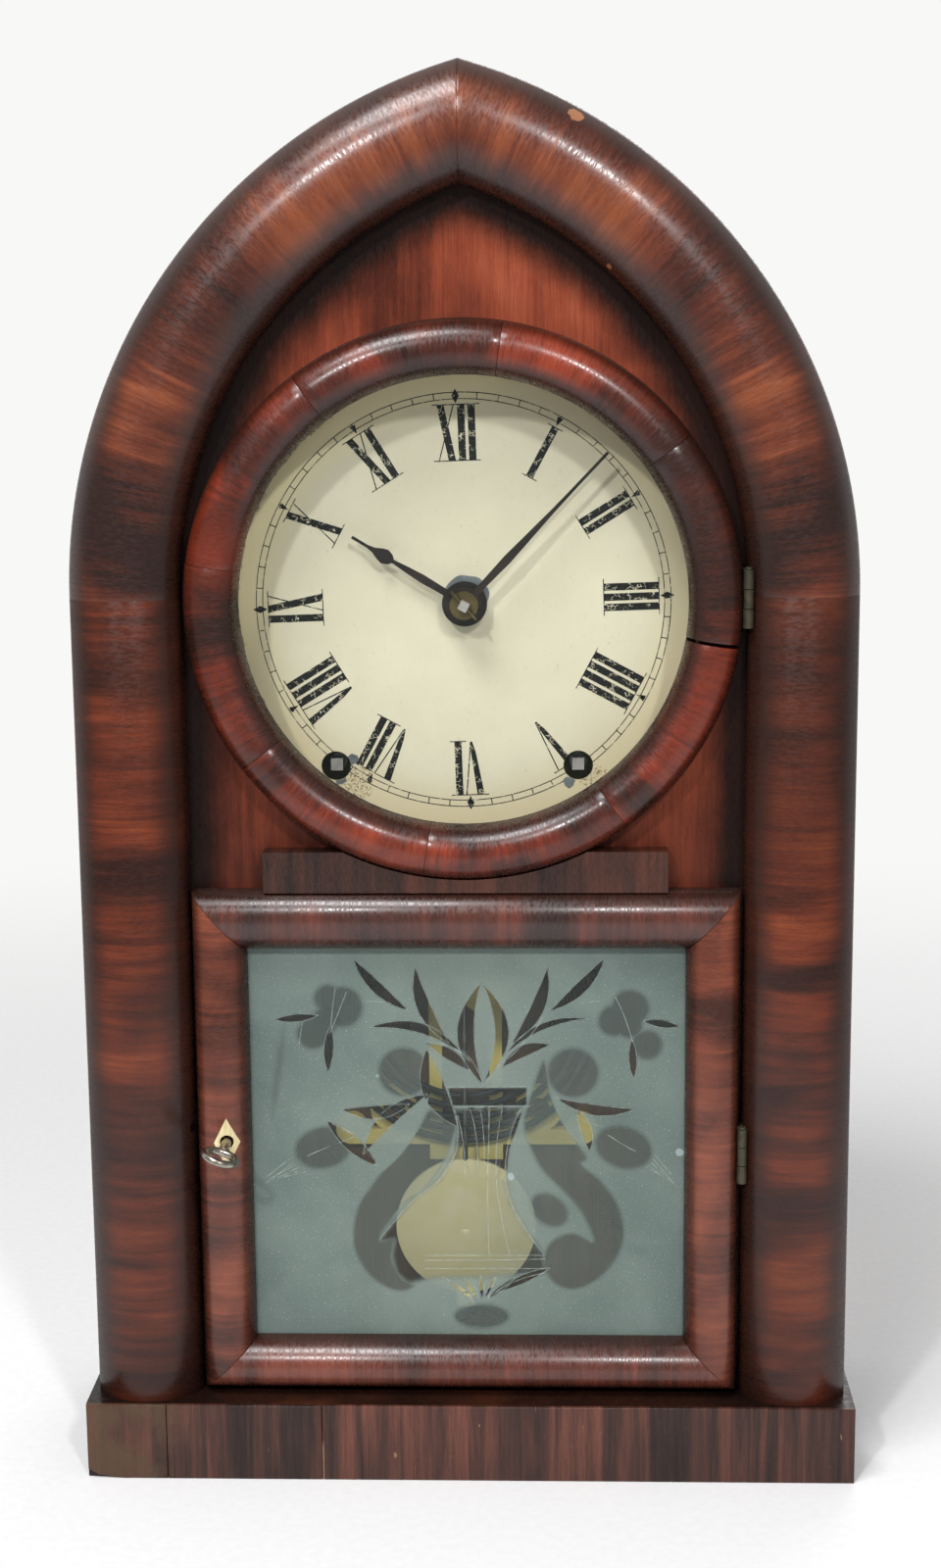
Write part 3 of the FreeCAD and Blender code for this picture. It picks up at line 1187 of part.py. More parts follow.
minute_phase = mating_phase(centre, CANNON, 0.0, minute_post, MINUTE_WHEEL)
post = cylinder(minute_post, 1.0, shaft_y[0] - 5.6, inside)
made("minute_wheel", "MinuteWheel", [joined(
    post,
    teeth(minute_post, MINUTE_WHEEL, motion_module, shaft_y[0] - 2.4, shaft_y[0] - 0.8, minute_phase),
    teeth(minute_post, MINUTE_PINION, hour_module, shaft_y[0] - 5.6, shaft_y[0] - 2.4, 0.0, True))])
pipe_radius = number("hour_pipe_radius")
hour_disc = teeth(centre, HOUR_WHEEL, hour_module, shaft_y[0] - 5.0, shaft_y[0] - 3.6,
                  mating_phase(minute_post, MINUTE_PINION, 0.0, centre, HOUR_WHEEL))
pipe = cylinder(centre, pipe_radius, hour_y, shaft_y[0] - 3.6)
pipe_bore = cylinder(centre, minute_radius + clear, hour_y - 1, shaft_y[0])
made("hour_wheel", "HourWheel", [joined(hour_disc, pipe).cut(pipe_bore)])


def hand_blade(name, corners, y, degrees):
    """Blade outline pointing at twelve, turned to its place on the dial."""
    blade = new_body(name, 0, y, dial_height)
    blade.Placement = FreeCAD.Placement(V(0, 0, 0), FreeCAD.Rotation(V(0, 1, 0), degrees))
    outline_sketch = outline(blade, name + "Outline", "XZ_Plane", corners)
    pad(blade, outline_sketch, size["hand_thickness"])
    return blade


minute_long = size["minute_length"]
right_edge = [(1.2, 4.5), (1.15, 10), (1.5, 21.5), (1.2, 29.5), (0.68, 43.5), (0.53, 54)]
minute_corners = [(as_size(u), as_size(v)) for u, v in right_edge]
minute_corners += [(as_size(0.5), minute_long), (as_size(-0.5), minute_long)]
minute_corners += [(as_size(-u), as_size(v)) for u, v in reversed(right_edge)]
minute_blade = hand_blade("MinuteBlade", minute_corners, as_size(minute_y + thin), number("minute_angle"))
minute_hub = bar_y("MinuteHub", as_size(0), dial_height, (as_size(minute_y), as_size(minute_y + thin)),
                   size["minute_hub_radius"])
minute_hole = doc.addObject("Part::Feature", "MinuteSquareHole")
minute_hole.Shape = square_bar(square_half, minute_y - 1, minute_y + thin + 1, square_turn)
node("minute_hand", cut("MinuteHand", fuse("MinuteHandBlank", minute_blade, minute_hub), minute_hole))

hour_long = size["hour_length"]
right_edge = [(1.2, 6.0), (1.25, 10), (1.42, 17), (1.08, 23), (0.6, 28.4), (1.85, 29.6), (2.6, 31.7), (2.1, 33.6),
              (0.95, 36), (0.5, 38.6)]
hour_corners = [(as_size(u), as_size(v)) for u, v in right_edge]
hour_corners += [(as_size(0.5), hour_long), (as_size(-0.5), hour_long)]
hour_corners += [(as_size(-u), as_size(v)) for u, v in reversed(right_edge)]
hour_blade = hand_blade("HourBlade", hour_corners, as_size(hour_y + thin), number("hour_angle"))
hour_hub = bar_y("HourHub", as_size(0), dial_height, (as_size(hour_y), as_size(hour_y + thin)),
                 size["hour_hub_radius"])
hour_hole = bar_y("HourHole", as_size(0), dial_height, (as_size(hour_y - 1), as_size(hour_y + thin + 1)),
                  size["hour_pipe_radius"])
node("hour_hand", cut("HourHand", fuse("HourHandBlank", hour_blade, hour_hub), hour_hole))

# Movement plates, drilled for every arbor, with pillars and nuts

pillar_places = [(plate_left.number + 22, plate_high.number - 10), (plate_right.number - 20, plate_high.number - 10),
                 (pendulum_x, plate_low.number + 8), (plate_left.number + 7, centre[1] - 13),
                 (plate_right.number - 7, centre[1] - 13)]
pillars = []
spigot = 1.8
for place_xz in pillar_places:
    pillars.append(joined(cylinder(place_xz, 3.4, inside, inside_back),
                          cylinder(place_xz, spigot, shaft_y[0] - 2.8, shaft_y[1])))
    nut_solid = cylinder(place_xz, 3.2, shaft_y[0] - 2.4, shaft_y[0])
    pillars.append(nut_solid.cut(cylinder(place_xz, spigot, shaft_y[0] - 3, shaft_y[0] + 1)))
made("plate_pillars", "PlatePillars", pillars)

train_places = [time_second, time_third, escape, strike_second, strike_third, fly, hammer_pivot]


def plate(label, name, span, extra):
    solid = brick(plate_left.number, plate_right.number, span[0].number, span[1].number,
                  plate_low.number, plate_high.number)
    drill = [(place_xz, arbor + clear) for place_xz in train_places]
    drill += [(verge, arbor + clear), (lever_pivot, 1.0 + clear), (centre, minute_radius + clear)]
    drill += [(time_wind, wind_radius + clear), (strike_wind, wind_radius + clear)]
    drill += [(place_xz, spigot) for place_xz in pillar_places]
    for place_xz, radius in drill + extra:
        solid = solid.cut(cylinder(place_xz, radius, span[0].number - 1, span[1].number + 1))
    return made(label, name, [solid])


screw_places = [(plate_left.number + 7, plate_low.number + 6), (plate_left.number + 7, plate_high.number - 6),
                (plate_right.number - 7, plate_low.number + 6), (plate_right.number - 7, plate_high.number - 6)]
plate("front_plate", "FrontPlate", plate_y, [(minute_post, 1.0 + clear)])
plate("back_plate", "BackPlate", rear_plate_y, [(place_xz, 1.6) for place_xz in screw_places])

# Check every object, then write one file for each piece

doc.recompute()
faults = []
for thing in doc.Objects:
    if "Invalid" in thing.State or "Error" in thing.State:
        faults.append("%s %s" % (thing.Name, thing.State))
for thing in nodes:
    if thing.Shape.isNull() or not thing.Shape.isValid() or not thing.Shape.Solids:
        faults.append("%s has no valid solid" % thing.Label)
if faults:
    raise RuntimeError("faults: " + "; ".join(faults))
os.makedirs("parts", exist_ok=True)
for thing in nodes:
    thing.Shape.exportStep("parts/%s.step" % thing.Label)
    box = thing.Shape.BoundBox
    print("%-22s solids %2d  x %.1f %.1f  y %.1f %.1f  z %.1f %.1f" % (
        thing.Label, len(thing.Shape.Solids), box.XMin, box.XMax, box.YMin, box.YMax, box.ZMin, box.ZMax))
print("%d pieces" % len(nodes))
print("hinge axis x %.3f y %.3f" % (hinge_x.number, hinge_y.number))
print("key axis x %.3f z %.3f" % (lock_x.number, lock_z.number))
for title, place_xz in (("centre", centre), ("time winding", time_wind), ("strike winding", strike_wind),
                        ("time second", time_second), ("time third", time_third), ("escape", escape),
                        ("verge", verge), ("strike second", strike_second), ("strike third", strike_third),
                        ("fly", fly), ("minute post", minute_post), ("hammer", hammer_pivot),
                        ("count lever", lever_pivot)):
    print("%-15s x %.4f z %.4f" % (title, place_xz[0], place_xz[1]))
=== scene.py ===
import math
import bmesh
import bpy
import numpy
from mathutils import Matrix, Vector


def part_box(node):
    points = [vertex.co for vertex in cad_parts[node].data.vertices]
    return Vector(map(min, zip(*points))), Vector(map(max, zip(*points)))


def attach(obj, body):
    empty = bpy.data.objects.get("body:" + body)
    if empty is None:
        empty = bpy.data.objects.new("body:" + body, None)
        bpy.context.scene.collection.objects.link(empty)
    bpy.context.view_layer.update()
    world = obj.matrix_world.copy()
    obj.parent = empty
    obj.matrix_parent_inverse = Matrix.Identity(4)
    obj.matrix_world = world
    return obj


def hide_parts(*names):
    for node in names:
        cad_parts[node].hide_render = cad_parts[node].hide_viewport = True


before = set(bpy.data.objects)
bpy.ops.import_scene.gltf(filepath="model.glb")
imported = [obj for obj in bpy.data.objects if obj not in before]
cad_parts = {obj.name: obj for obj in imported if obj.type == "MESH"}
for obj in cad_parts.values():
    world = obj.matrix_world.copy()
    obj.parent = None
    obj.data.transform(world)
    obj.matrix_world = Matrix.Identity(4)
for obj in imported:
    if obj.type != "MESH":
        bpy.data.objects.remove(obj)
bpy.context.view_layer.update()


# Base: a thick softwood board under the whole case, stained dark, its front faced with three sheets
# of veneer that stand upright. Their edges are eased by wear, and the lower left corner has broken away.
class Nodes:
    """A node tree, with short ways to add to it."""

    def __init__(self, tree):
        self.tree = tree

    def feed(self, socket, value):
        if isinstance(value, bpy.types.NodeSocket):
            self.tree.links.new(value, socket)
        else:
            socket.default_value = value

    def node(self, kind, *values, **settings):
        """Adds a node and feeds its first sockets."""
        made = self.tree.nodes.new("ShaderNode" + kind)
        for setting, value in settings.items():
            setattr(made, setting, value)
        for socket, value in zip(made.inputs, values):
            self.feed(socket, value)
        return made

    def split(self, vector):
        return tuple(self.node("SeparateXYZ", vector).outputs)

    def math(self, operation, *values):
        return self.node("Math", *values, operation=operation).outputs[0]

    def times(self, first, second):
        return self.math("MULTIPLY", first, second)

    def times_plus(self, first, second, third):
        return self.math("MULTIPLY_ADD", first, second, third)

    def minus(self, first, second):
        return self.math("SUBTRACT", first, second)

    def size(self, value):
        return self.math("ABSOLUTE", value)

    def length(self, first, second):
        return self.math("SQRT", self.times_plus(first, first, self.times(second, second)))


class Finish(Nodes):
    """A surface finish: one shader and the pattern nodes that feed it."""
    MIX_SHARE, MIX_FIRST, MIX_SECOND, MIX_COLOUR = 0, 6, 7, 2

    def __init__(self, name, **sockets):
        self.material = bpy.data.materials.new(name)
        self.material.use_nodes = True
        super().__init__(self.material.node_tree)
        self.shader = self.tree.nodes["Principled BSDF"]
        for socket, value in sockets.items():
            self.shader.inputs[socket.replace("_", " ")].default_value = value
        self.place = self.node("TexCoord").outputs["Object"]
        self.axes = self.x, self.y, self.z = self.split(self.place)

    def noise(self, where, scale=1.0, detail=2.0, rough=0.5, twist=0.0):
        made = self.node("TexNoise", where)
        for socket, value in (("Scale", scale), ("Detail", detail), ("Roughness", rough), ("Distortion", twist)):
            made.inputs[socket].default_value = value
        return made.outputs["Fac"]

    def drawn(self, axes, scales, *settings):
        """Noise drawn out along the grain: each axis has a scale of its own."""
        parts = [self.times(axis, scale) for axis, scale in zip(axes, scales)]
        return self.noise(self.node("CombineXYZ", *parts).outputs[0], 1.0, *settings)

    def level(self, value, low, high, start=0.0, end=1.0):
        return self.node("MapRange", value, low, high, start, end, interpolation_type="SMOOTHSTEP").outputs[0]

    def ramp(self, value, *stops):
        made = self.node("ValToRGB", value)
        band = made.color_ramp.elements
        while len(band) < len(stops):
            band.new(0.5)
        for element, (position, colour) in zip(band, stops):
            element.position = position
            element.color = tint(*colour)
        return made.outputs[0]

    def mix(self, share, first, second):
        made = self.node("Mix", data_type="RGBA")
        for socket, value in ((self.MIX_SHARE, share), (self.MIX_FIRST, first), (self.MIX_SECOND, second)):
            self.feed(made.inputs[socket], tint(*value) if isinstance(value, tuple) else value)
        return made.outputs[self.MIX_COLOUR]

    def spot(self, centre, radius, ragged=0.35, soft=0.08):
        """1 inside a ragged patch round a point in millimetres, 0 outside it."""
        centre = [part / 1000 for part in centre]
        gap = self.node("VectorMath", self.place, centre, operation="DISTANCE").outputs["Value"]
        edge = self.times_plus(self.noise(self.place, 420.0, 3.0), radius * ragged / 500, radius * (1 - ragged) / 1000)
        return self.level(self.math("DIVIDE", gap, edge), 1 + soft, 1 - soft)

    def paint(self, colour):
        self.feed(self.shader.inputs["Base Color"], colour)

    def stain(self, share, colour, strength=1.0):
        """Lays a colour over what is painted so far."""
        if strength < 1:
            share = self.times(share, strength)
        self.paint(self.mix(share, self.shader.inputs["Base Color"].links[0].from_socket, colour))

    def rough(self, value, low, high, socket="Roughness"):
        self.feed(self.shader.inputs[socket], self.level(value, 0.3, 0.7, low, high))

    def bump(self, height, depth):
        made = self.node("Bump")
        made.inputs["Distance"].default_value = depth / 1000
        self.feed(made.inputs["Height"], height)
        self.feed(self.shader.inputs["Normal"], made.outputs[0])


def tint(red, green, blue):
    """A colour as it looks on a screen, 0 to 255, as the shader wants it."""
    parts = [value / 255 for value in (red, green, blue)]
    parts = [part / 12.92 if part < 0.04 else ((part + 0.055) / 1.055) ** 2.4 for part in parts]
    return (*parts, 1.0)


def dress(finish, *names):
    """Gives CAD nodes that stay as they are their finish."""
    for name in names:
        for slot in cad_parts[name].material_slots:
            slot.material = finish.material


def to_metres(mesh):
    bmesh.ops.scale(mesh, vec=(0.001, 0.001, 0.001), verts=mesh.verts)


def add_object(mesh, name):
    """Turns a bmesh into an object."""
    shape = bpy.data.meshes.new(name)
    mesh.to_mesh(shape)
    mesh.free()
    made = bpy.data.objects.new(name, shape)
    bpy.context.collection.objects.link(made)
    return made


CREASE = math.radians(32)


def piece(mesh, name, body, slot, finish, *nodes):
    """Turns a bmesh drawn in millimetres into a piece that rides on a body."""
    to_metres(mesh)
    bmesh.ops.recalc_face_normals(mesh, faces=mesh.faces)
    for face in mesh.faces:
        face.smooth = True
    for edge in mesh.edges:
        if len(edge.link_faces) == 2:
            edge.smooth = edge.calc_face_angle() < CREASE
    made = add_object(mesh, name)
    made.data.materials.append(finish.material)
    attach(made, body)
    if nodes:
        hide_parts(*nodes)
    return made


def grain_upright(finish):
    return finish.x, finish.z, finish.y


def grain_level(finish):
    return finish.z, finish.x, finish.y


def stained_pine(name, dark, mid, light, lay=grain_level, shade=0.0):
    """Plain softwood, its rings stepping as lay says; shade is a painted shade that darkens what lies before a board's
    back.
    """
    finish = Finish(name, Roughness=0.62, Specular_IOR_Level=0.3)
    rings = finish.drawn(lay(finish), (110, 5, 70), 3.0, 0.55, 0.8)
    fibre = finish.drawn(lay(finish), (1400, 30, 1400))
    finish.paint(finish.ramp(rings, (0.3, dark), (0.5, mid), (0.72, light)))
    finish.stain(finish.level(fibre, 0.6, 0.35), dark, 0.35)
    if shade:
        finish.stain(finish.level(finish.y, 0.0505, 0.0475), (44, 24, 17), shade)
    finish.rough(fibre, 0.5, 0.75)
    finish.bump(fibre, 0.08)
    return finish


def veneer(name, lay, tones, bands=14.0, lean=1.1, streaks=0.3, clouds=0.15, chips=(), spread=0.1, edges=None,
           gloss=0.75):
    """Old shellac over figured veneer: lay gives the way across the bands, along them, and in depth.

    Edges, the middle and half width of a moulding in millimetres, darkens it smokily toward both sides."""
    finish = Finish(name, Coat_Weight=gloss, Coat_IOR=1.65, Specular_IOR_Level=0.0)
    axes = lay(finish)
    broad = finish.drawn(axes, (bands, 8, 8), 2.0, 0.5, lean)
    narrow = finish.drawn(axes, (bands * 6, 10, 10), 4.0, 0.62, 0.5)
    grain = finish.drawn(axes, (560, 22, 22), 3.0, 0.6, 0.3)
    fibre = finish.drawn(axes, (2600, 60, 60), 3.0, 0.65)
    cloud = finish.noise(finish.place, 30.0, 3.0, 0.55, 0.7)
    figure = finish.times(broad, 1 - streaks - clouds)
    for part, share in ((narrow, streaks), (cloud, clouds), (finish.minus(grain, 0.5), 0.17)):
        figure = finish.times_plus(part, share, figure)
    stops = (0.495 - spread, 0.5 - spread / 3, 0.5 + spread / 3, 0.51 + spread)
    finish.paint(finish.ramp(figure, *zip(stops, tones)))
    finish.stain(finish.level(fibre, 0.6, 0.36), tones[0], 0.32)
    if edges:
        middle, half = edges
        off = finish.size(finish.minus(finish.size(axes[1]), middle / 1000))
        off = finish.times_plus(cloud, 0.3, finish.times(off, 1000 / half))
        finish.stain(finish.level(off, 0.52, 1.0), SMOKE, 0.85)
    for centre, radius in chips:
        finish.stain(finish.spot(centre, radius), BARE_WOOD)
    finish.rough(fibre, 0.4, 0.55)
    finish.rough(finish.drawn(axes, (1500, 400, 400), 2.0, 0.6), 0.18, 0.4, "Coat Roughness")
    wave = finish.noise(finish.place, 60.0, 2.0)
    finish.bump(finish.times_plus(fibre, 0.09, wave), 0.22)
    return finish


def block(mesh, low, high):
    """Adds a box between two corners."""
    verts = bmesh.ops.create_cube(mesh, size=1.0)["verts"]
    bmesh.ops.scale(mesh, vec=Vector(high) - Vector(low), verts=verts)
    bmesh.ops.translate(mesh, vec=(Vector(low) + Vector(high)) / 2, verts=verts)


def saw(mesh, point, normal):
    """Cuts a mesh along a plane and drops what lies beyond it."""
    everything = mesh.verts[:] + mesh.edges[:] + mesh.faces[:]
    bmesh.ops.bisect_plane(mesh, geom=everything, plane_co=point, plane_no=normal, clear_outer=True)


def open_edges(mesh):
    return [edge for edge in mesh.edges if len(edge.link_faces) == 1]


def ease(mesh, edges, offset, segments):
    bmesh.ops.bevel(mesh, geom=edges, offset=offset, segments=segments, profile=0.5, affect="EDGES", material=-1)


def corners(node):
    """The two corners of a CAD node's box, in millimetres."""
    return [corner * 1000 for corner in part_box(node)]


SMOKE, BARE_WOOD = (40, 23, 18), (150, 98, 66)
dress(stained_pine("carcase_stain", (30, 17, 11), (52, 29, 18), (74, 43, 27)), "front_frame")

TOP_TONES = ((18, 10, 8), (34, 19, 14), (50, 27, 19), (78, 42, 27))
TOP_WEAR = (((-103, -60, 27.5), 3.5), ((-96, -61, 27.5), 2.5), ((-70, -62, 27.5), 2.0), ((104, -62, 27.5), 2.0))
top = veneer("top_polish", grain_level, TOP_TONES, bands=40.0, gloss=0.5)
for centre, radius in TOP_WEAR:
    top.stain(top.spot(centre, radius, 0.7), (118, 66, 36), 0.7)
top.stain(top.level(top.y, 0.0519, 0.0523), (92, 62, 40))
dress(top, "base_board")

FRONT_TONES = ((26, 18, 16), (52, 36, 32), (82, 51, 43), (112, 68, 56))
front = veneer("base_veneer", grain_upright, FRONT_TONES, bands=30.0, lean=0.5, streaks=0.5, clouds=0.05, spread=0.135,
               gloss=0.4)
seam = front.level(front.size(front.math("ADD", front.x, 0.0513)), 0.0004, 0.0002)
front.stain(front.times(seam, front.level(front.z, 0.016, 0.011)), (170, 140, 112), 0.8)
worn = front.level(front.noise(front.place, 48.0, 4.0, 0.6), 0.36, 0.6)
front.stain(front.times(front.level(front.x, -0.092, -0.112), worn), (86, 66, 48), 0.75)
for centre, radius in (((-130.5, -68, 20), 3.2), ((-130.8, -68, 14), 2.6)):
    front.stain(front.spot(centre, radius, 0.8), (128, 66, 38), 0.6)
flecks = front.drawn(front.axes, (520, 300, 130))
front.stain(front.level(flecks, 0.735, 0.775), (164, 132, 96), 0.6)

low, high = corners("base_front_veneer")
HALF_GAP = 0.08
joints = (low.x, -106.3, -51.5, high.x)
sheets = bmesh.new()
for left, right in zip(joints, joints[1:]):
    block(sheets, (left + HALF_GAP, low.y, low.z), (right - HALF_GAP, high.y, high.z))
for point, normal in (((-134.6, 0, 3.4), (-0.5, 0, -0.85)), ((-129, 0, 0.9), (-0.12, 0, -1))):
    saw(sheets, point, normal)
    bmesh.ops.holes_fill(sheets, edges=open_edges(sheets))
front_edges = [edge for edge in sheets.edges if all(vert.co.y < low.y + 0.01 for vert in edge.verts)]
ease(sheets, front_edges, 0.45, 3)
piece(sheets, "base_sheets", "case", "panel_veneer", front, "base_front_veneer")


# Case sides: thin boards bent over the whole outline of the case from one foot to the peak, stained and
# polished on the outside. Their grain follows the bend.
def grain_bent(finish):
    return finish.y, finish.z, finish.x


SIDE_TONES = ((22, 11, 9), (44, 20, 14), (62, 28, 18), (84, 40, 25))
dress(veneer("side_polish", grain_bent, SIDE_TONES, bands=40.0, lean=0.6), "case_side_right", "case_side_left")


# Columns: two straight half-round mouldings, cross-banded, so that the grain lies level and the figure
# makes dark and red bands up their length. They are glued to the case and stand on the base.
INNER, OUTER, EDGE, CROWN = 95.2, 132.2, -38.6, -49.6
BOLT_HOLE = ((-INNER - 6, -36.5, 123.6), (-INNER + 1, -32.0, 132.0))


def verts_of(geometry):
    return [one for one in geometry if isinstance(one, bmesh.types.BMVert)]


def half_round(mesh, inner, outer, edge, crown, *back):
    """Draws a moulding's outline in an empty mesh: a round crown from inner to outer, then the back corners."""
    half = (outer - inner) / 2
    radius = (half ** 2 + (edge - crown) ** 2) / (2 * (edge - crown))
    centre = ((inner + outer) / 2, crown + radius, 0)
    first = mesh.verts.new((inner, edge, 0))
    crown_line = bmesh.ops.spin(mesh, geom=[first], cent=centre, axis=(0, 0, 1), steps=22,
                                angle=2 * math.asin(min(half / radius, 1)))
    last = verts_of(crown_line["geom_last"])[0]
    for corner in back:
        following = mesh.verts.new((*corner, 0))
        mesh.edges.new((last, following))
        last = following
    mesh.edges.new((last, first))
    return mesh.edges[:]


def draw_out(mesh, edges, way):
    """Draws an outline out into walls."""
    walls = bmesh.ops.extrude_edge_only(mesh, edges=edges)["geom"]
    bmesh.ops.translate(mesh, vec=way, verts=verts_of(walls))


def close_ends(mesh, rounding, ridge=0.0):
    """Caps the open ends of a moulding, eases the ends and, where asked, the ridges along it."""
    bmesh.ops.recalc_face_normals(mesh, faces=mesh.faces)
    if ridge:
        shared = [edge for edge in mesh.edges if len(edge.link_faces) == 2]
        ease(mesh, [edge for edge in shared if 0.35 < edge.calc_face_angle() < 0.7], ridge, 3)
    caps = bmesh.ops.holes_fill(mesh, edges=open_edges(mesh))["faces"]
    rims = list({edge for cap in caps for edge in cap.edges})
    bmesh.ops.recalc_face_normals(mesh, faces=mesh.faces)
    ease(mesh, rims, rounding, 2)


def cut_away(whole, cutter):
    """Takes the shape of a bmesh, drawn in millimetres, out of a finished piece."""
    to_metres(cutter)
    chisel = add_object(cutter, "cutter")
    cut = whole.modifiers.new("cut", "BOOLEAN")
    cut.object, cut.solver, cut.use_self = chisel, "EXACT", True
    solid, shape = whole.data, chisel.data
    whole.data = bpy.data.meshes.new_from_object(whole.evaluated_get(bpy.context.evaluated_depsgraph_get()))
    whole.modifiers.clear()
    whole.data.name = solid.name
    bpy.data.objects.remove(chisel)
    for done in (shape, solid):
        bpy.data.meshes.remove(done)


def let_in(wood, *recesses):
    """Cuts square recesses, each given by two corners in millimetres, into a finished piece."""
    cutter = bmesh.new()
    for recess in recesses:
        block(cutter, *recess)
    cut_away(wood, cutter)


def grain_column(finish):
    """Level grain whose bands crowd together toward the foot."""
    down = finish.math("MAXIMUM", finish.minus(0.36, finish.z), 0.0)
    beside = finish.times_plus(finish.math("SIGN", finish.x), 0.35, finish.math("POWER", down, 1.5))
    return finish.times(beside, 1.9), finish.x, finish.y


RED_BROWN = ((44, 19, 12), (76, 33, 20), (106, 46, 27), (132, 63, 34))
wood = veneer("column_veneer", grain_column, RED_BROWN, bands=14.0, lean=1.2, streaks=0.42, clouds=0.08, spread=0.108,
              edges=(113.7, 18.5), gloss=0.5)
wood.stain(wood.level(wood.z, 0.2, 0.04), SMOKE, 0.3)
wood.stain(wood.times(wood.level(wood.z, 0.19, 0.25), wood.level(wood.x, 0, 0.01)), SMOKE, 0.5)
wood.stain(wood.spot((-96.2, -39, 125.4), 1.8, 0.6), (16, 9, 7))
low, high = corners("column_right")
for side, inner, outer in (("right", INNER, OUTER), ("left", -OUTER, -INNER)):
    column = bmesh.new()
    outline = half_round(column, inner, outer, EDGE, CROWN, (outer, high.y), (inner, high.y))
    bmesh.ops.translate(column, vec=(0, 0, low.z), verts=column.verts)
    draw_out(column, outline, (0, 0, high.z - low.z))
    close_ends(column, 0.06, 1.6)
    made = piece(column, "column_moulding_" + side, "case", "mahogany", wood, "column_" + side)
    if side == "left":
        let_in(made, BOLT_HOLE)


# Arch: two curved half-round mouldings that run on from the columns and are mitred at the peak, their
# veneer laid in pieces across the curve. A chip on the right half and one on its inner edge show bare wood.
def grain_round(centre_x, centre_z, radius, way=1):
    """Grain that points at a centre: bands step round it."""
    def lay(finish):
        across = finish.times_plus(finish.x, way, -way * centre_x / 1000)
        up = finish.minus(finish.z, centre_z / 1000)
        turn = finish.times(finish.math("ARCTAN2", up, across), radius / 1000)
        return turn, finish.length(up, across), finish.y
    return lay


ARCH_OFFSET, SPRING, ARCH_RADIUS = 47.49, 309.7, 161
HALF_MITRE = 0.04
ARCH_CHIPS = (((38.7, -44, 465.3), 3.2), ((49.7, -39.5, 418.0), 2.0))
ARCH_TONES = ((40, 18, 12), (76, 33, 20), (106, 49, 29), (138, 72, 42))
arch_back = corners("arch_moulding_left")[1].y
for side, way, chips in (("right", 1, ARCH_CHIPS), ("left", -1, ())):
    arch = bmesh.new()
    left, right = sorted((way * INNER, way * OUTER))
    outline = half_round(arch, left, right, EDGE, CROWN, (right, arch_back), (left, arch_back))
    bmesh.ops.translate(arch, vec=(0, 0, SPRING), verts=arch.verts)
    bmesh.ops.spin(arch, geom=outline, cent=(-way * ARCH_OFFSET, 0, SPRING), axis=(0, -way, 0),
                   angle=math.radians(76), steps=60)
    saw(arch, (HALF_MITRE * way, 0, 0), (-way, 0, 0))
    close_ends(arch, 0.06, 1.6)
    lay = grain_round(-way * ARCH_OFFSET, SPRING, ARCH_RADIUS, way)
    arch_veneer = veneer("arch_veneer_" + side, lay, ARCH_TONES, bands=12.0, streaks=0.26, clouds=0.2, chips=chips,
                         spread=0.085, edges=(161.2, 18.5))
    piece(arch, "arch_half_" + side, "case", "mahogany", arch_veneer, "arch_moulding_" + side)


# Front panel: a flat board behind the arch with the round opening for the dial, faced with one sheet of
# plain upright veneer. A painted shadow blackens it in the corner along the mouldings, and painted shade
# darkens it toward the bottom.
PANEL_TONES = ((82, 36, 24), (116, 53, 35), (143, 67, 44), (162, 82, 56))
panel = veneer("panel_veneer", grain_upright, PANEL_TONES, bands=16.0, lean=0.5, streaks=0.25, clouds=0.25, gloss=0.25)
# Painted shade: darker toward the bottom, then a near-black painted shadow in a band along the inside of the arch.
rise = panel.math("MAXIMUM", panel.minus(panel.z, SPRING / 1000), 0.0)
across = panel.math("ADD", panel.size(panel.x), ARCH_OFFSET / 1000)
reach = panel.times_plus(panel.noise(panel.place, 70.0, 4.0, 0.6), 0.006, panel.length(across, rise))
panel.stain(panel.level(panel.z, 0.29, 0.2), (44, 25, 20), 0.4)
panel.stain(panel.level(reach, 0.1285, 0.1415), (13, 8, 6), 0.95)
dress(panel, "front_panel")


# Back board and rails: plain softwood, planed and left nearly bare, browned with age. Slotted iron screws
# hold the back to the sides and the movement to its rails.
bare_pine = stained_pine("bare_pine", (62, 40, 25), (94, 64, 41), (122, 86, 56))
# The back board's inside face is painted darker, a painted shade for the inside of the case.
back_pine = stained_pine("back_pine", (92, 62, 38), (134, 97, 62), (158, 119, 80), grain_upright, shade=0.65)
dress(bare_pine, "movement_rails", "dial_blocks")
dress(back_pine, "back_board")


def metal(name, dark, light, roughness, marks=(900, 900, 900), metallic=1.0):
    """Old metal: a colour that wanders between two tones, with fine rubbing marks."""
    finish = Finish(name, Metallic=metallic)
    tarnish = finish.noise(finish.place, 95.0, 4.0, 0.6, 0.5)
    rub = finish.drawn(finish.axes, marks)
    finish.paint(finish.ramp(tarnish, (0.32, dark), (0.66, light)))
    finish.rough(finish.times_plus(tarnish, 0.5, finish.times(rub, 0.5)), *roughness)
    finish.bump(rub, 0.012)
    return finish


steel_grey = metal("steel_grey", (96, 94, 92), (152, 150, 148), (0.28, 0.5), (2600, 300, 700))
dress(steel_grey, "wood_screws", "dial_tacks")


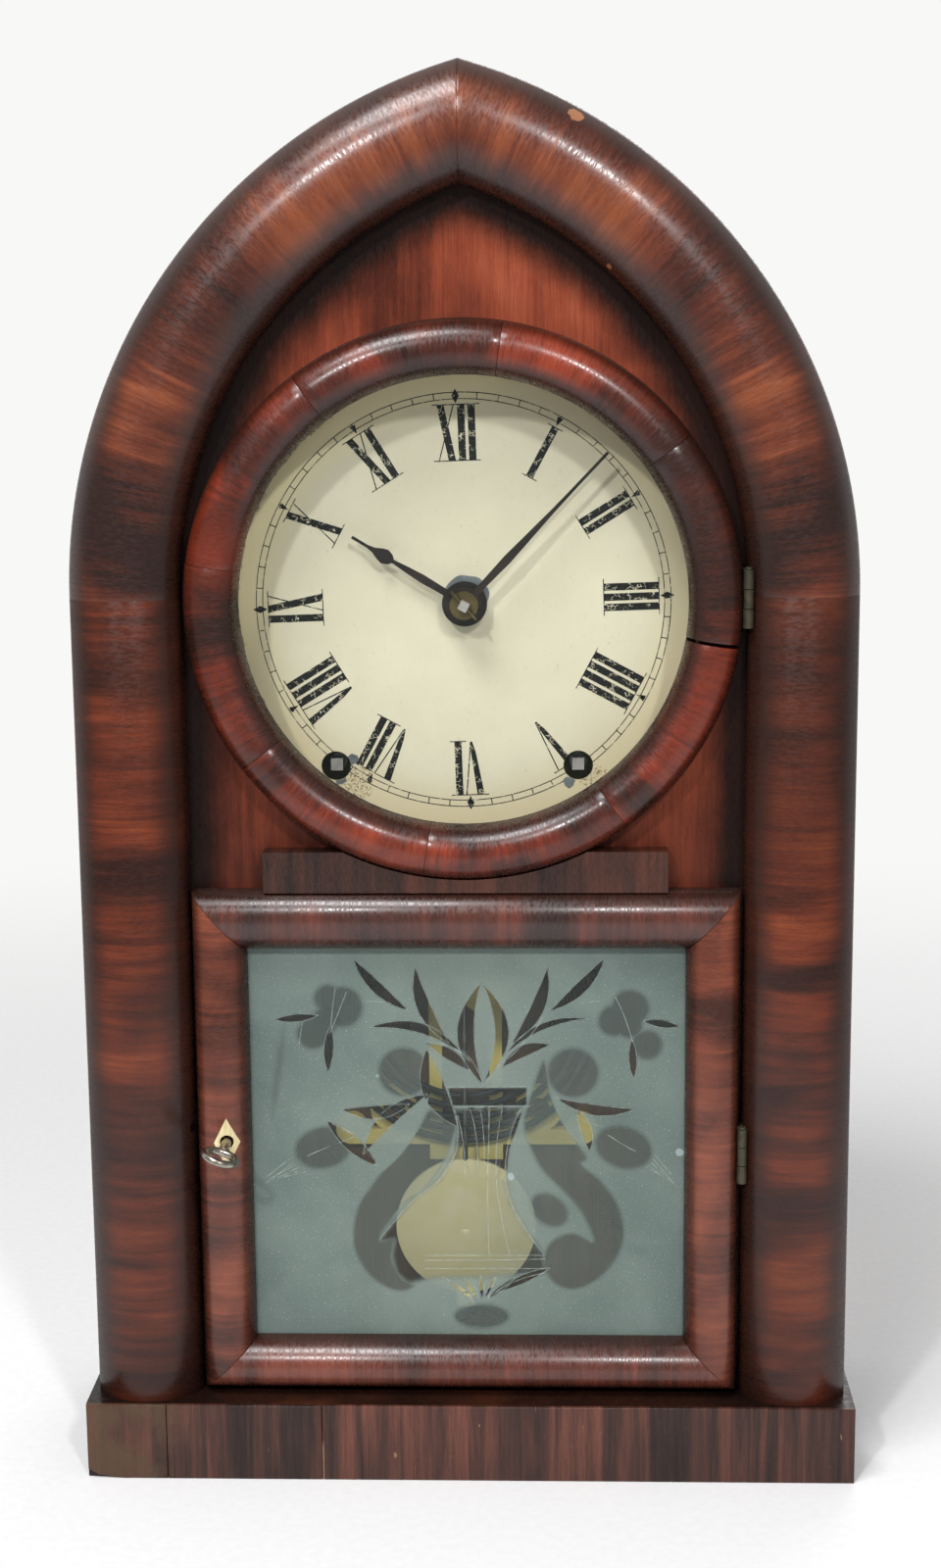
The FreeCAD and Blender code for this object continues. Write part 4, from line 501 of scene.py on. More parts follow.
# Movement: two pierced brass plates on steel pillars, with a wheel train for the time and one for the
# strike between them. Wheels are cut brass, arbors and pinions steel, springs blued steel.
ROLLED = (300, 2600, 1500)
movement_brass = metal("movement_brass", (132, 104, 52), (196, 164, 92), (0.26, 0.46), ROLLED)
spring_steel = metal("spring_steel", (52, 54, 62), (96, 98, 106), (0.25, 0.45), (300, 2600, 300))
brass_painted_dark = metal("brass_painted_dark", (58, 46, 26), (92, 76, 44), (0.45, 0.6), ROLLED)
bright_steel = metal("bright_steel", (150, 148, 142), (206, 204, 198), (0.3, 0.45), metallic=0.4)
# The front plate gets a darker brass as painted shade, so that it looks black through the winding holes.
dress(brass_painted_dark, "front_plate")
dress(movement_brass, "back_plate", "suspension_cock", "hour_wheel", "minute_wheel",
      "time_great_wheel", "time_second_wheel", "centre_wheel", "third_wheel", "escape_wheel",
      "strike_great_wheel", "strike_pin_wheel", "strike_third_wheel", "fly")
dress(spring_steel, "mainsprings")
dress(bright_steel, "minute_arbor", "time_winding_arbor", "strike_winding_arbor")
dress(steel_grey, "plate_pillars", "verge", "count_lever", "hammer")


# Gong: a flat coil of steel wire, blued and dulled, on a cast stand with scrolled arms that is painted
# with yellow bronze powder and screwed to the back board.
CAST = (700, 700, 700)
dress(metal("gong_blue", (26, 26, 29), (52, 52, 57), (0.4, 0.55)), "gong_coil")
dress(metal("gilt_bronze", (226, 210, 112), (246, 233, 146), (0.4, 0.58), CAST, 0.05), "gong_stand")


# Pendulum: a thin wire rod that hangs on a suspension spring, with a lens-shaped bob spun from sheet and
# faced with pale brass. The bob rides on the rod above a rating nut.
bob_brass = metal("bob_brass", (248, 240, 172), (255, 250, 200), (0.36, 0.5), (400, 400, 400), 0.05)
dress(steel_grey, "pendulum_rod")
dress(bob_brass, "pendulum_bob")


# Dial: a sheet of zinc painted cream, tacked to two blocks. Painted shade darkens and warms it along the rim
# that the door covers, lighter toward the upper left as painted light, and rust browns its very edge. The
# paint has flaked from the zinc round the hands and under the winding holes.
dial = Finish("dial_cream", Specular_IOR_Level=0.3)
cloud = dial.noise(dial.place, 34.0, 4.0, 0.6, 0.3)
speck = dial.noise(dial.place, 900.0, 3.0, 0.6)
dial.paint(dial.ramp(cloud, (0.3, (216, 211, 183)), (0.55, (221, 217, 189)), (0.75, (225, 221, 194))))
dial.stain(dial.level(speck, 0.62, 0.75), (150, 124, 84), 0.25)
rim = dial.length(dial.minus(dial.z, 0.3052), dial.x)
# Painted light and shade: the rim is painted darker and warmer all round, and lighter toward the upper left.
painted_rim_light = dial.level(dial.minus(dial.x, dial.z), -0.345, -0.385)
dial.stain(dial.level(rim, 0.058, 0.078), dial.mix(painted_rim_light, (208, 193, 145), (250, 234, 172)), 0.6)
ragged = dial.noise(dial.place, 160.0, 5.0, 0.7, 0.5)
dial.stain(dial.level(dial.times_plus(ragged, 0.0065, rim), 0.0812, 0.0822), (98, 60, 28), 0.8)
fine = dial.level(dial.noise(dial.place, 1300.0, 3.0, 0.7), 0.5, 0.62)
for centre, radius in (((-38.5, -14, 242.3), 6.0), ((45.0, -14, 243.5), 5.0)):
    dial.stain(dial.times(dial.spot(centre, radius, 0.7), fine), (128, 100, 58))
dial.rough(cloud, 0.42, 0.58)
dial.bump(speck, 0.02)
dress(dial, "dial_plate")


# Bare zinc: thin patches on the dial where the paint has come away, round the hands and beside the winding
# holes. They are dull grey metal and lie over the printing.
DIAL_FRONT = corners("dial_plate")[0].y
WINDING_HOLES, WINDING_HOLE_RADIUS = ((38.9, 248.5), (-45.6, 248.5)), 5.15
FLAKES = (((0.6, 307.6), 7.5, 0.04, 0.4), ((-39.6, 250.9), 1.85, 0.08, 1.0),
          ((-44.1, 243.8), 1.9, 0.1, 2.0), ((35.7, 242.6), 2.0, 0.1, 0.0))


def thicken(mesh, faces, depth):
    """Gives flat faces a thickness toward the front."""
    out = bmesh.ops.extrude_face_region(mesh, geom=list(faces))["geom"]
    bmesh.ops.translate(mesh, vec=(0, -depth, 0), verts=verts_of(out))


def stand(mesh, verts, place):
    """Turns what lies flat upright, so that it faces the front, and moves it to a place."""
    bmesh.ops.rotate(mesh, cent=(0, 0, 0), matrix=Matrix.Rotation(math.pi / 2, 3, "X"), verts=verts)
    bmesh.ops.translate(mesh, vec=place, verts=verts)


def clear_holes(layer):
    """Cuts the two winding holes through a layer on the dial."""
    cutter = bmesh.new()
    for x, z in WINDING_HOLES:
        drill = bmesh.ops.create_cone(cutter, cap_ends=True, segments=48, radius1=WINDING_HOLE_RADIUS,
                                      radius2=WINDING_HOLE_RADIUS, depth=2.0)["verts"]
        stand(cutter, drill, (x, DIAL_FRONT, z))
    cut_away(layer, cutter)


flakes = bmesh.new()
for (x, z), radius, wobble, phase in FLAKES:
    disc = bmesh.ops.create_circle(flakes, segments=40, radius=1.0, cap_ends=True)["verts"]
    for vert in disc:
        angle = math.atan2(vert.co.y, vert.co.x)
        swell = math.sin(3 * angle + phase) + 0.6 * math.sin(7 * angle + 2 * phase)
        reach = radius * (1 + wobble * swell)
        vert.co = Vector((x + reach * math.cos(angle), DIAL_FRONT, z + reach * math.sin(angle)))
    thicken(flakes, {face for vert in disc for face in vert.link_faces}, 0.06)
zinc = metal("bare_zinc", (100, 108, 110), (134, 142, 144), (0.45, 0.6), CAST, 0.6)
clear_holes(piece(flakes, "dial_flakes", "case", "steel", zinc))


# Printing on the dial: upright Roman numerals with broad and hair strokes, a minute track of two rings
# with ticks, and small diamonds and arrowheads at the hours, in black that has crackled.
black = Finish("dial_black", Roughness=0.5, Specular_IOR_Level=0.3)
crack = black.node("TexVoronoi", black.place, feature="DISTANCE_TO_EDGE")
crack.inputs["Scale"].default_value = 800.0
crack = crack.outputs["Distance"]
crazed = black.level(black.noise(black.place, 420.0, 3.0), 0.5, 0.6)
black.paint(black.ramp(black.noise(black.place, 700.0, 3.0), (0.3, (5, 5, 6)), (0.7, (13, 13, 12))))
black.stain(black.times(black.level(crack, 0.07, 0.04), crazed), (206, 200, 172))
black.bump(crack, 0.02)

DIAL_X, DIAL_Z, DIAL_TURN = -0.7, 305.5, math.radians(-1.7)
PRINT_BACK, PRINT_DEPTH = DIAL_FRONT - 0.02, 0.03
FOOT, TALL = 48.6, 18.6
TOP = FOOT + TALL
BROAD, HAIR, SERIF, BAR_GAP, SERIF_PAST = 2.5, 0.42, 0.34, 1.0, 3.2
TIP, WAIST = 0.25, 0.85
TRACK_IN, TRACK_OUT, TRACK_LINE, TICK = 69.1, 71.3, 0.3, 0.34
printing = bmesh.new()


def printed(points, angle):
    """A flat printed mark: points are clockwise distance and distance from the centre, in millimetres."""
    turn = Matrix.Rotation(-angle - DIAL_TURN, 2)
    spots = [turn @ Vector(point) for point in points]
    verts = [printing.verts.new((DIAL_X + spot.x, PRINT_BACK, DIAL_Z + spot.y)) for spot in spots]
    thicken(printing, [printing.faces.new(verts)], PRINT_DEPTH)


def bar(low, high, wide, angle, foot=FOOT, top=TOP):
    """A stroke from its foot to its top, given by the two middles and its width."""
    half = wide / 2
    printed([(low - half, foot), (low + half, foot), (high + half, top), (high - half, top)], angle)


WIDTHS = {"I": BROAD, "V": 6.4, "X": 6.0}
NUMERALS = ("XII", "I", "II", "III", "IIII", "V", "VI", "VII", "VIII", "IX", "X", "XI")
for hour, numeral in enumerate(NUMERALS):
    angle = math.radians(30 * hour)
    span = sum(WIDTHS[letter] + BAR_GAP for letter in numeral) - BAR_GAP
    at, feet = -span / 2, []
    for letter in numeral:
        wide = WIDTHS[letter]
        if letter == "V":
            tip = at + wide * 0.62
            waist, shoulder = tip + 0.2 * (at + BROAD / 2 - tip), FOOT + 0.2 * TALL
            printed([(tip - TIP, FOOT), (tip + TIP, FOOT), (waist + WAIST, shoulder), (at + BROAD, TOP), (at, TOP),
                     (waist - WAIST, shoulder)], angle)
            bar(at + wide * 0.66, at + wide - 0.2, HAIR, angle)
        else:
            feet += [at, at + wide]
            bar(at + wide - BROAD / 2, at + BROAD / 2, BROAD, angle)
            if letter == "X":
                bar(at + 0.3, at + wide - 0.3, HAIR, angle)
        at += wide + BAR_GAP
    bar(0, 0, span + SERIF_PAST, angle, TOP, TOP + SERIF)
    if feet:
        middle = (feet[0] + feet[-1]) / 2
        bar(middle, middle, feet[-1] - feet[0] + SERIF_PAST, angle, FOOT - SERIF, FOOT)

for radius in (TRACK_IN, TRACK_OUT):
    ring_line = bmesh.ops.create_circle(printing, segments=180, radius=radius)["verts"]
    stand(printing, ring_line, (DIAL_X, PRINT_BACK, DIAL_Z))
    line = list({edge for vert in ring_line for edge in vert.link_edges})
    outer = verts_of(bmesh.ops.extrude_edge_only(printing, edges=line)["geom"])
    wider = 1 + TRACK_LINE / radius
    bmesh.ops.scale(printing, vec=(wider, 1, wider), verts=outer, space=Matrix.Translation((-DIAL_X, 0, -DIAL_Z)))
    thicken(printing, {face for vert in outer for face in vert.link_faces}, PRINT_DEPTH)
for minute in range(60):
    angle, middle = math.radians(6 * minute), (TRACK_IN + TRACK_OUT) / 2
    bar(0, 0, TICK, angle, TRACK_IN, TRACK_OUT)
    if minute % 15 == 0:
        printed([(0, TRACK_IN - 1.4), (1.3, middle), (0, TRACK_OUT + 1.4), (-1.3, middle)], angle)
    elif minute % 5 == 0:
        printed([(0, TRACK_IN - 1.3), (1.1, TRACK_OUT - 0.3), (-1.1, TRACK_OUT - 0.3)], angle)
clear_holes(piece(printing, "dial_printing", "case", "blackened", black))


# Hands: cut from thin iron, blackened and browned, each on its own arbor at the middle of the dial. A brass
# collet and a pin hold them on.
hand_black = metal("hand_black", (24, 19, 17), (46, 36, 31), (0.35, 0.55), metallic=0.35)
dress(hand_black, "hour_hand", "minute_hand")
dress(metal("collet_brass", (74, 66, 44), (120, 108, 74), (0.35, 0.5)), "hand_collet")


# Door ring: eight glued blocks turned to a half-round ring and veneered across the curve. Each block keeps
# its own figure, the joints show as fine lines, and the one under the upper hinge has opened.
RING_Z, RING_IN, RING_OUT = 307.3, 75.5, 94.0
BAR_EDGE, BAR_CROWN, DOOR_BACK = -37.0, -45.9, -31.5
FIRST_JOINT, HALF_JOINT, OPEN_JOINT = -8.7, 0.05, 0.8
BLOCKS = 8
PANE_SEAT, PANE_RADIUS = corners("dial_glass")[0].y, corners("dial_glass")[1].x + 0.1
HINGE_LEAF, HINGE_TALL, HINGE_HEIGHTS = 0.6, 19.6, (308.8, 116.1)


def grain_ring(finish):
    """Grain that points at the ring's centre, with a fresh start at each of its eight joints."""
    first = math.radians(FIRST_JOINT)
    up = finish.minus(finish.z, RING_Z / 1000)
    across = finish.times_plus(finish.x, math.cos(first), finish.times(up, math.sin(first)))
    height = finish.times_plus(up, math.cos(first), finish.times(finish.x, -math.sin(first)))
    turn = finish.math("ARCTAN2", height, across)
    number = finish.math("FLOOR", finish.times(turn, BLOCKS / 2 / math.pi))
    return finish.times_plus(number, 0.31, finish.times(turn, 0.085)), finish.length(up, finish.x), finish.y


RING_SCUFF = (((-53.3, -41, 379.8), 1.5),)
RING_TONES = ((42, 19, 12), (78, 31, 19), (116, 43, 25), (150, 59, 33))
RING_STAINS = (((-44.6, -44, 377.5), 14.0, SMOKE), ((73.9, -44, 345.0), 16.0, SMOKE),
               ((-83.0, -44, 327.0), 13.0, (118, 42, 22)))
wood = veneer("ring_veneer", grain_ring, RING_TONES, bands=15.0, lean=1.3, streaks=0.15, clouds=0.5, chips=RING_SCUFF,
              edges=(86.0, 9.5), gloss=0.7)
dusk = wood.level(wood.math("ADD", wood.x, wood.z), 0.374, 0.41)
wood.stain(wood.times(dusk, wood.level(wood.x, 0.03, 0.06)), SMOKE, 0.55)
for centre, radius, colour in RING_STAINS:
    wood.stain(wood.spot(centre, radius, 0.3, 0.7), colour, 0.6)
ring = bmesh.new()
for number in range(BLOCKS):
    start, end = [FIRST_JOINT + 360 / BLOCKS * joint for joint in (number, number + 1)]
    start += HALF_JOINT
    end -= OPEN_JOINT if number == BLOCKS - 1 else HALF_JOINT
    wedge = bmesh.new()
    outline = half_round(wedge, RING_IN, RING_OUT, BAR_EDGE, BAR_CROWN, (RING_OUT, DOOR_BACK),
                         (PANE_RADIUS, DOOR_BACK), (PANE_RADIUS, PANE_SEAT), (RING_IN, PANE_SEAT))
    bmesh.ops.rotate(wedge, cent=(0, 0, 0), matrix=Matrix.Rotation(-math.radians(start), 3, "Y"), verts=wedge.verts)
    bmesh.ops.translate(wedge, vec=(0, 0, RING_Z), verts=wedge.verts)
    bmesh.ops.spin(wedge, geom=outline, cent=(0, 0, RING_Z), axis=(0, -1, 0), angle=math.radians(end - start), steps=20)
    close_ends(wedge, 0.05)
    shape = bpy.data.meshes.new("ring_block")
    wedge.to_mesh(shape)
    wedge.free()
    ring.from_mesh(shape)
    bpy.data.meshes.remove(shape)
LEAF_BEDS = [((RING_OUT - HINGE_LEAF, -41.0, middle - HINGE_TALL / 2),
              (RING_OUT + 1, DOOR_BACK + 1, middle + HINGE_TALL / 2)) for middle in HINGE_HEIGHTS]
let_in(piece(ring, "ring_blocks", "door", "mahogany", wood, "door_ring"), LEAF_BEDS[0])


# Door frame: four half-round bars, cross-banded and mitred at the corners, with a plain block that joins
# them to the ring. Putty beads hold the panes from behind.
FRAME_HALF, FRAME_IN = 94.0, 75.4
FRAME_LOW, FRAME_HIGH, SIGHT_LOW, SIGHT_HIGH = 29.0, 208.8, 47.7, 188.8
TABLET_SEAT, TABLET_LAP = corners("tablet_glass")[0].y, corners("tablet_glass")[1].x - FRAME_IN + 0.1
MITRES = [((side * FRAME_HALF, end), (side * FRAME_IN, sight)) for side in (1, -1)
          for end, sight in ((FRAME_HIGH, SIGHT_HIGH), (FRAME_LOW, SIGHT_LOW))]


def frame_bar(name, inner, outer, level, finish, node_name):
    """One bar of the door frame; level is true for the rails."""
    mesh = bmesh.new()
    lap = inner + math.copysign(TABLET_LAP, outer - inner)
    back = [(outer, DOOR_BACK), (lap, DOOR_BACK), (lap, TABLET_SEAT), (inner, TABLET_SEAT)]
    outline = half_round(mesh, *sorted((inner, outer)), BAR_EDGE, BAR_CROWN, *(back if outer > inner else back[::-1]))
    if level:
        bmesh.ops.rotate(mesh, cent=(0, 0, 0), matrix=Matrix.Rotation(-math.pi / 2, 3, "Y"), verts=mesh.verts)
        way, start, end = Vector((1, 0, 0)), -FRAME_HALF, FRAME_HALF
        middle = Vector((0, (inner + outer) / 2))
    else:
        way, start, end = Vector((0, 0, 1)), FRAME_LOW, FRAME_HIGH
        middle = Vector(((inner + outer) / 2, (FRAME_LOW + FRAME_HIGH) / 2))
    bmesh.ops.translate(mesh, vec=way * start, verts=mesh.verts)
    draw_out(mesh, outline, way * (end - start))
    for tip, sight in MITRES:
        if tip[1] == outer if level else tip[0] * inner > 0:
            corner, along = Vector(tip), Vector(sight) - Vector(tip)
            normal = Vector((-along.y, along.x)).normalized()
            if (middle - corner).dot(normal) > 0:
                normal = -normal
            corner -= normal * HALF_MITRE
            saw(mesh, (corner.x, 0, corner.y), (normal.x, 0, normal.y))
    close_ends(mesh, 0.2)
    return piece(mesh, name, "door", "mahogany", finish, node_name)


def bar_veneer(name, lay, tones, edges, gloss=0.75):
    return veneer(name, lay, tones, bands=15.0, lean=1.0, clouds=0.25, edges=edges, gloss=gloss)


STILE_TONES = ((62, 29, 19), (104, 50, 34), (134, 68, 46), (162, 90, 59))
RAIL_TONES = ((44, 23, 18), (70, 35, 27), (98, 47, 35), (126, 62, 45))
NECK_TONES = ((34, 18, 13), (60, 31, 22), (80, 42, 29), (100, 54, 37))
top_veneer = bar_veneer("top_veneer", grain_upright, RAIL_TONES, (198.8, 11.5), 0.9)
bottom_veneer = bar_veneer("bottom_veneer", grain_upright, RAIL_TONES, (38.4, 11.0), 0.9)
stile_veneer = bar_veneer("stile_veneer", grain_level, STILE_TONES, (84.7, 11.0))
low, high = corners("lock_case")
LOCK_BED = ((-FRAME_HALF - 1, low.y - 0.1, low.z - 0.1), (high.x + 0.1, DOOR_BACK + 1, high.z + 0.1))
KEYHOLE = ((-84.0, -50, 117.2), (-82.2, low.y + 2, 124.4))
KEYHOLE_EYE = ((-85.3, -50, 120.3), (-80.9, low.y + 2, 123.7))
frame_bar("top_bar", SIGHT_HIGH, FRAME_HIGH, True, top_veneer, "door_rail_top")
frame_bar("bottom_bar", SIGHT_LOW, FRAME_LOW, True, bottom_veneer, "door_rail_bottom")
let_in(frame_bar("right_bar", FRAME_IN, FRAME_HALF, False, stile_veneer, "door_stile_right"), LEAF_BEDS[1])
let_in(frame_bar("left_bar", -FRAME_IN, -FRAME_HALF, False, stile_veneer, "door_stile_left"),
       LOCK_BED, KEYHOLE, KEYHOLE_EYE)
dress(veneer("neck_veneer", grain_upright, NECK_TONES, bands=26.0, lean=0.5), "door_neck_block")
# The putty beads are old dark putty painted nearly black, painted shade for the dark line along the inner edges.
dress(stained_pine("putty_painted_dark", (13, 8, 6), (20, 12, 9), (28, 17, 12)), "glazing_beads")


# Dial pane: a round of thin old glass, nearly clear and faintly wavy, that lies in the rebate of the ring.
# It lets the light through to the dial without a shadow.
glass = Finish("clear_glass", Roughness=0.04, Alpha=0.035, Specular_IOR_Level=0.25)
wave = glass.noise(glass.place, 22.0, 2.0)
glass.paint(glass.ramp(wave, (0.3, (84, 96, 90)), (0.7, (104, 114, 108))))
glass.bump(wave, 0.15)
dress(glass, "dial_glass")
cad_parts["dial_glass"].visible_shadow = False


# Tablet: a pane frosted on its face, with a vase of flowers left clear or half clear, in the rebate of the
# frame. The frost is grey-green and lets the brass behind it glow through. Lines of the table: leaves by two
# tips and two bulges, discs by middle, half sizes and tilt, the rest by their outlines, in millimetres.
PETALS = (
    (-38.9, 184.7, -20.2, 166.3, 0.4, 3.7), (-17.6, 181.7, -6.2, 154.5, -0.4, 5.3),
    (-33.9, 160.1, -1.3, 150.5, 6.8, -3.2), (-14.0, 154.5, 1.0, 144.7, 3.0, 0.8),
    (-14.0, 152.5, -3.4, 124.3, 1.2, 7.1), (-47.1, 161.1, -48.4, 144.0, 1.4, 2.0),
    (-51.4, 164.6, -66.8, 163.0, 1.6, 1.2), (-43.8, 130.6, -20.1, 132.7, 0.4, 4.5),
    (-13.7, 136.3, -36.7, 114.2, -0.5, 6.1), (-49.3, 126.5, -31.8, 110.1, 2.8, 2.8),
    (47.6, 184.9, 28.9, 166.2, 3.7, 0.4), (28.0, 181.5, 15.7, 154.6, 5.1, -0.4),
    (42.2, 163.4, 13.3, 150.5, -2.8, 5.1), (28.9, 154.1, 12.3, 146.0, 0.0, 4.1),
    (57.1, 156.1, 57.8, 142.0, 1.4, 1.4), (60.9, 162.7, 73.5, 160.7, 1.4, 1.4),
    (31.3, 134.8, 58.4, 131.0, -0.4, 4.3), (38.1, 130.8, 42.5, 115.5, 3.0, 1.0),
    (5.0, 176.2, 5.7, 139.4, -2.8, 8.7), (5.5, 176.0, 5.9, 140.9, 8.9, -4.1), (-7.8, 68.3, 1.8, 60.8, 0.8, 0.8),
    (-1.6, 68.8, 2.8, 61.3, 0.6, 0.8), (4.2, 69.7, 4.5, 61.3, 0.8, 0.8), (9.3, 69.2, 5.8, 61.5, 0.8, 0.6),
    (16.3, 69.2, 6.8, 61.3, 1.0, 0.8), (28.7, 72.7, 9.3, 63.4, 1.2, 1.8))
FROST_PETALS = ((-13.2, 136.0, -38.3, 102.6, 5.1, 0.8), (28.8, 136.4, 42.2, 115.2, 2.2, 2.2))
DISCS = (
    (-43.1, 167.6, 7.4, 7.4, 0), (-47.9, 170.6, 5.1, 5.1, 0), (-53.5, 158.0, 5.7, 5.7, 0),
    (-49.0, 162.6, 4.9, 4.9, 0), (-22.0, 144.1, 9.1, 9.1, 0), (-50.6, 116.7, 10.3, 7.7, 15),
    (56.5, 167.2, 6.7, 6.7, 0), (50.9, 162.7, 5.7, 5.7, 0), (62.4, 154.1, 5.5, 5.5, 0), (56.1, 161.2, 4.9, 4.9, 0),
    (36.7, 144.0, 9.1, 9.1, 0), (54.3, 117.0, 10.3, 7.7, -20), (28.4, 94.0, 7.4, 5.5, -40),
    (4.3, 54.5, 9.8, 4.7, 0))
LEFT_SWAG = (
    (-12.8, 130.7), (-4.5, 126.6), (-5.6, 118.4), (-9.1, 110.2), (-15.1, 101.9), (-23.1, 95.6), (-29.2, 87.3),
    (-31.4, 82.3), (-26.3, 83.1), (-27.2, 75.8), (-23.5, 68.5), (-19.5, 65.9), (-23.6, 63.8), (-29.5, 65.3),
    (-35.4, 70.0), (-39.8, 77.9), (-40.6, 86.2), (-38.5, 95.6), (-33.9, 102.8), (-30.9, 107.0), (-22.8, 116.3),
    (-16.8, 124.5))
RIGHT_SWAG = (
    (26.4, 148.5), (23.5, 140.9), (21.0, 132.8), (19.5, 126.6), (20.5, 120.5), (23.4, 113.3), (26.8, 107.7),
    (33.2, 101.0), (39.6, 93.3), (44.0, 82.4), (37.1, 85.5), (30.2, 83.4), (26.7, 78.2), (26.7, 71.9), (31.1, 66.2),
    (38.1, 64.8), (46.5, 69.4), (52.9, 78.3), (54.5, 87.6), (51.9, 97.0), (46.0, 105.2), (39.6, 110.8),
    (41.5, 113.4), (36.1, 121.6), (31.3, 130.8), (28.8, 136.4), (27.9, 144.0))
VASE_BODY = (
    (-4.5, 130.7), (-3.4, 122.5), (-4.6, 114.3), (-10.1, 105.0), (-19.1, 97.7), (-27.2, 88.3), (-31.4, 82.6),
    (-25.8, 83.1), (-26.8, 76.9), (-25.4, 70.6), (-21.5, 66.9), (-15.5, 68.5), (-9.5, 69.1), (5.4, 69.2),
    (27.2, 70.8), (26.2, 78.1), (20.3, 86.5), (14.9, 96.8), (13.0, 107.1), (14.6, 120.5), (19.1, 131.7))
SMEAR = (-63.2, 162.6, -68.5, 126.4, 1.6, 1.6)
NECK = ((-6.6, 138.4), (20.5, 138.5), (20.5, 132.2), (-4.9, 132.1))
FLUTES = (
    ((-4.2, 129.1), (-2.6, 124.0), (-1.3, 118.4), (-0.2, 110.2), (2.2, 106.6), (1.6, 118.4), (-0.1, 126.6),
     (-2.5, 129.5)),
    ((0.4, 131.5), (2.3, 124.6), (3.7, 116.4), (4.2, 106.6), (5.6, 106.1), (5.2, 116.4), (3.8, 126.6),
     (2.1, 131.5)), ((5.8, 131.5), (7.0, 131.5), (6.8, 106.1), (5.8, 106.1)),
    ((8.0, 131.5), (10.7, 131.5), (9.2, 124.6), (8.3, 116.4), (8.0, 106.1), (7.0, 106.1), (7.3, 116.4)),
    ((12.2, 131.5), (13.5, 131.5), (11.5, 124.6), (10.4, 116.4), (10.3, 106.1), (9.2, 106.1), (9.2, 116.4),
     (10.5, 124.6)),
    ((17.1, 127.7), (19.0, 130.2), (16.7, 122.6), (14.4, 116.4), (13.0, 105.1), (11.1, 105.1), (12.1, 116.4),
     (14.6, 122.5)))


def petal_outline(x0, z0, x1, z1, left, right):
    """Outline of a leaf between two tips, with the bulge of each side in millimetres."""
    start, end = numpy.array((x0, z0)), numpy.array((x1, z1))
    along = end - start
    across = numpy.array((-along[1], along[0])) / numpy.hypot(*along)
    share = numpy.linspace(0, 1, LEAF_POINTS)[:, None]
    swell = 4 * share * (1 - share)
    one_side = start + along * share + across * left * swell
    other_side = start + along * share - across * right * swell
    return numpy.concatenate((one_side, other_side[-2:0:-1]))


def disc_outline(x, z, wide, tall, tilt):
    angle = numpy.linspace(0, 2 * math.pi, 33)[:-1]
    lean = math.radians(tilt)
    flat, rise = wide * numpy.cos(angle), tall * numpy.sin(angle)
    return numpy.stack((x + flat * math.cos(lean) - rise * math.sin(lean),
                        z + flat * math.sin(lean) + rise * math.cos(lean)), 1)


def curve_outline(points):
    """A smooth closed line through given points."""
    ring = numpy.array(points)
    before, after, later = numpy.roll(ring, 1, 0), numpy.roll(ring, -1, 0), numpy.roll(ring, -2, 0)
    parts = []
    for share in (0.0, 0.25, 0.5, 0.75):
        parts.append(0.5 * (2 * ring + (after - before) * share
                            + (2 * before - 5 * ring + 4 * after - later) * share ** 2
                            + (3 * ring - before - 3 * after + later) * share ** 3))
    return numpy.stack(parts, 1).reshape(-1, 2)


def inside(outline, soft):
    """How far each spot of the pane lies inside an outline: 0 outside, 1 inside, blurred over a width."""
    found = numpy.zeros(len(spots))
    near = numpy.all((spots > outline.min(0) - 2) & (spots < outline.max(0) + 2), 1)
    here = spots[near]
    least = numpy.full(len(here), 1e9)
    within = numpy.zeros(len(here), bool)
    for one, two in zip(outline, numpy.roll(outline, -1, 0)):
        edge = two - one
        share = numpy.clip(((here - one) @ edge) / max(edge @ edge, 1e-9), 0, 1)
        least = numpy.minimum(least, numpy.hypot(*(here - one - share[:, None] * edge).T))
        crossing = (one[1] > here[:, 1]) != (two[1] > here[:, 1])
        rise = edge[1] if abs(edge[1]) > 1e-9 else 1e-9
        within ^= crossing & (here[:, 0] < one[0] + (here[:, 1] - one[1]) * edge[0] / rise)
    found[near] = numpy.clip(0.5 + numpy.where(within, least, -least) / soft, 0, 1)
    return found


low, high = corners("tablet_glass")
CELL, LEAF_POINTS, LEAF_SOFT = 0.5, 17, 0.6
wide, deep, tall = high - low
pane = bmesh.new()
layer = pane.verts.layers.float.new("clear")
face_verts = bmesh.ops.create_grid(pane, x_segments=round(wide / CELL), y_segments=round(tall / CELL),
                                   size=0.5)["verts"]
bmesh.ops.scale(pane, vec=(wide, tall, 1), verts=pane.verts)
stand(pane, pane.verts, ((low.x + high.x) / 2, low.y, (low.z + high.z) / 2))
spots = numpy.array([(vert.co.x, vert.co.z) for vert in face_verts])
leaves = [petal_outline(*leaf) for leaf in PETALS]
discs = [disc_outline(*disc) for disc in DISCS]
swags = [curve_outline(swag) for swag in (LEFT_SWAG, RIGHT_SWAG)]
strips = [numpy.array(strip) for strip in (NECK, *FLUTES)]
clear = numpy.interp(spots[:, 0], (-14, 16), (0.96, 0.72)) * inside(numpy.array(VASE_BODY), 3.0)
clear += 0.3 * inside(petal_outline(*SMEAR), 2.5)
for outlines, share, soft in ((leaves, 1.0, LEAF_SOFT), (discs, 0.53, 2.4), (swags, 0.55, 1.8), (strips, 1.0, 0.5)):
    for outline in outlines:
        clear = numpy.maximum(clear, share * inside(outline, soft))
for leaf in FROST_PETALS:
    clear = numpy.minimum(clear, 1 - inside(petal_outline(*leaf), LEAF_SOFT))
draw_out(pane, open_edges(pane), (0, deep, 0))
bmesh.ops.holes_fill(pane, edges=open_edges(pane))
for vert in pane.verts:
    vert[layer] = 1.0
for vert, share in zip(face_verts, clear):
    vert[layer] = float(share)

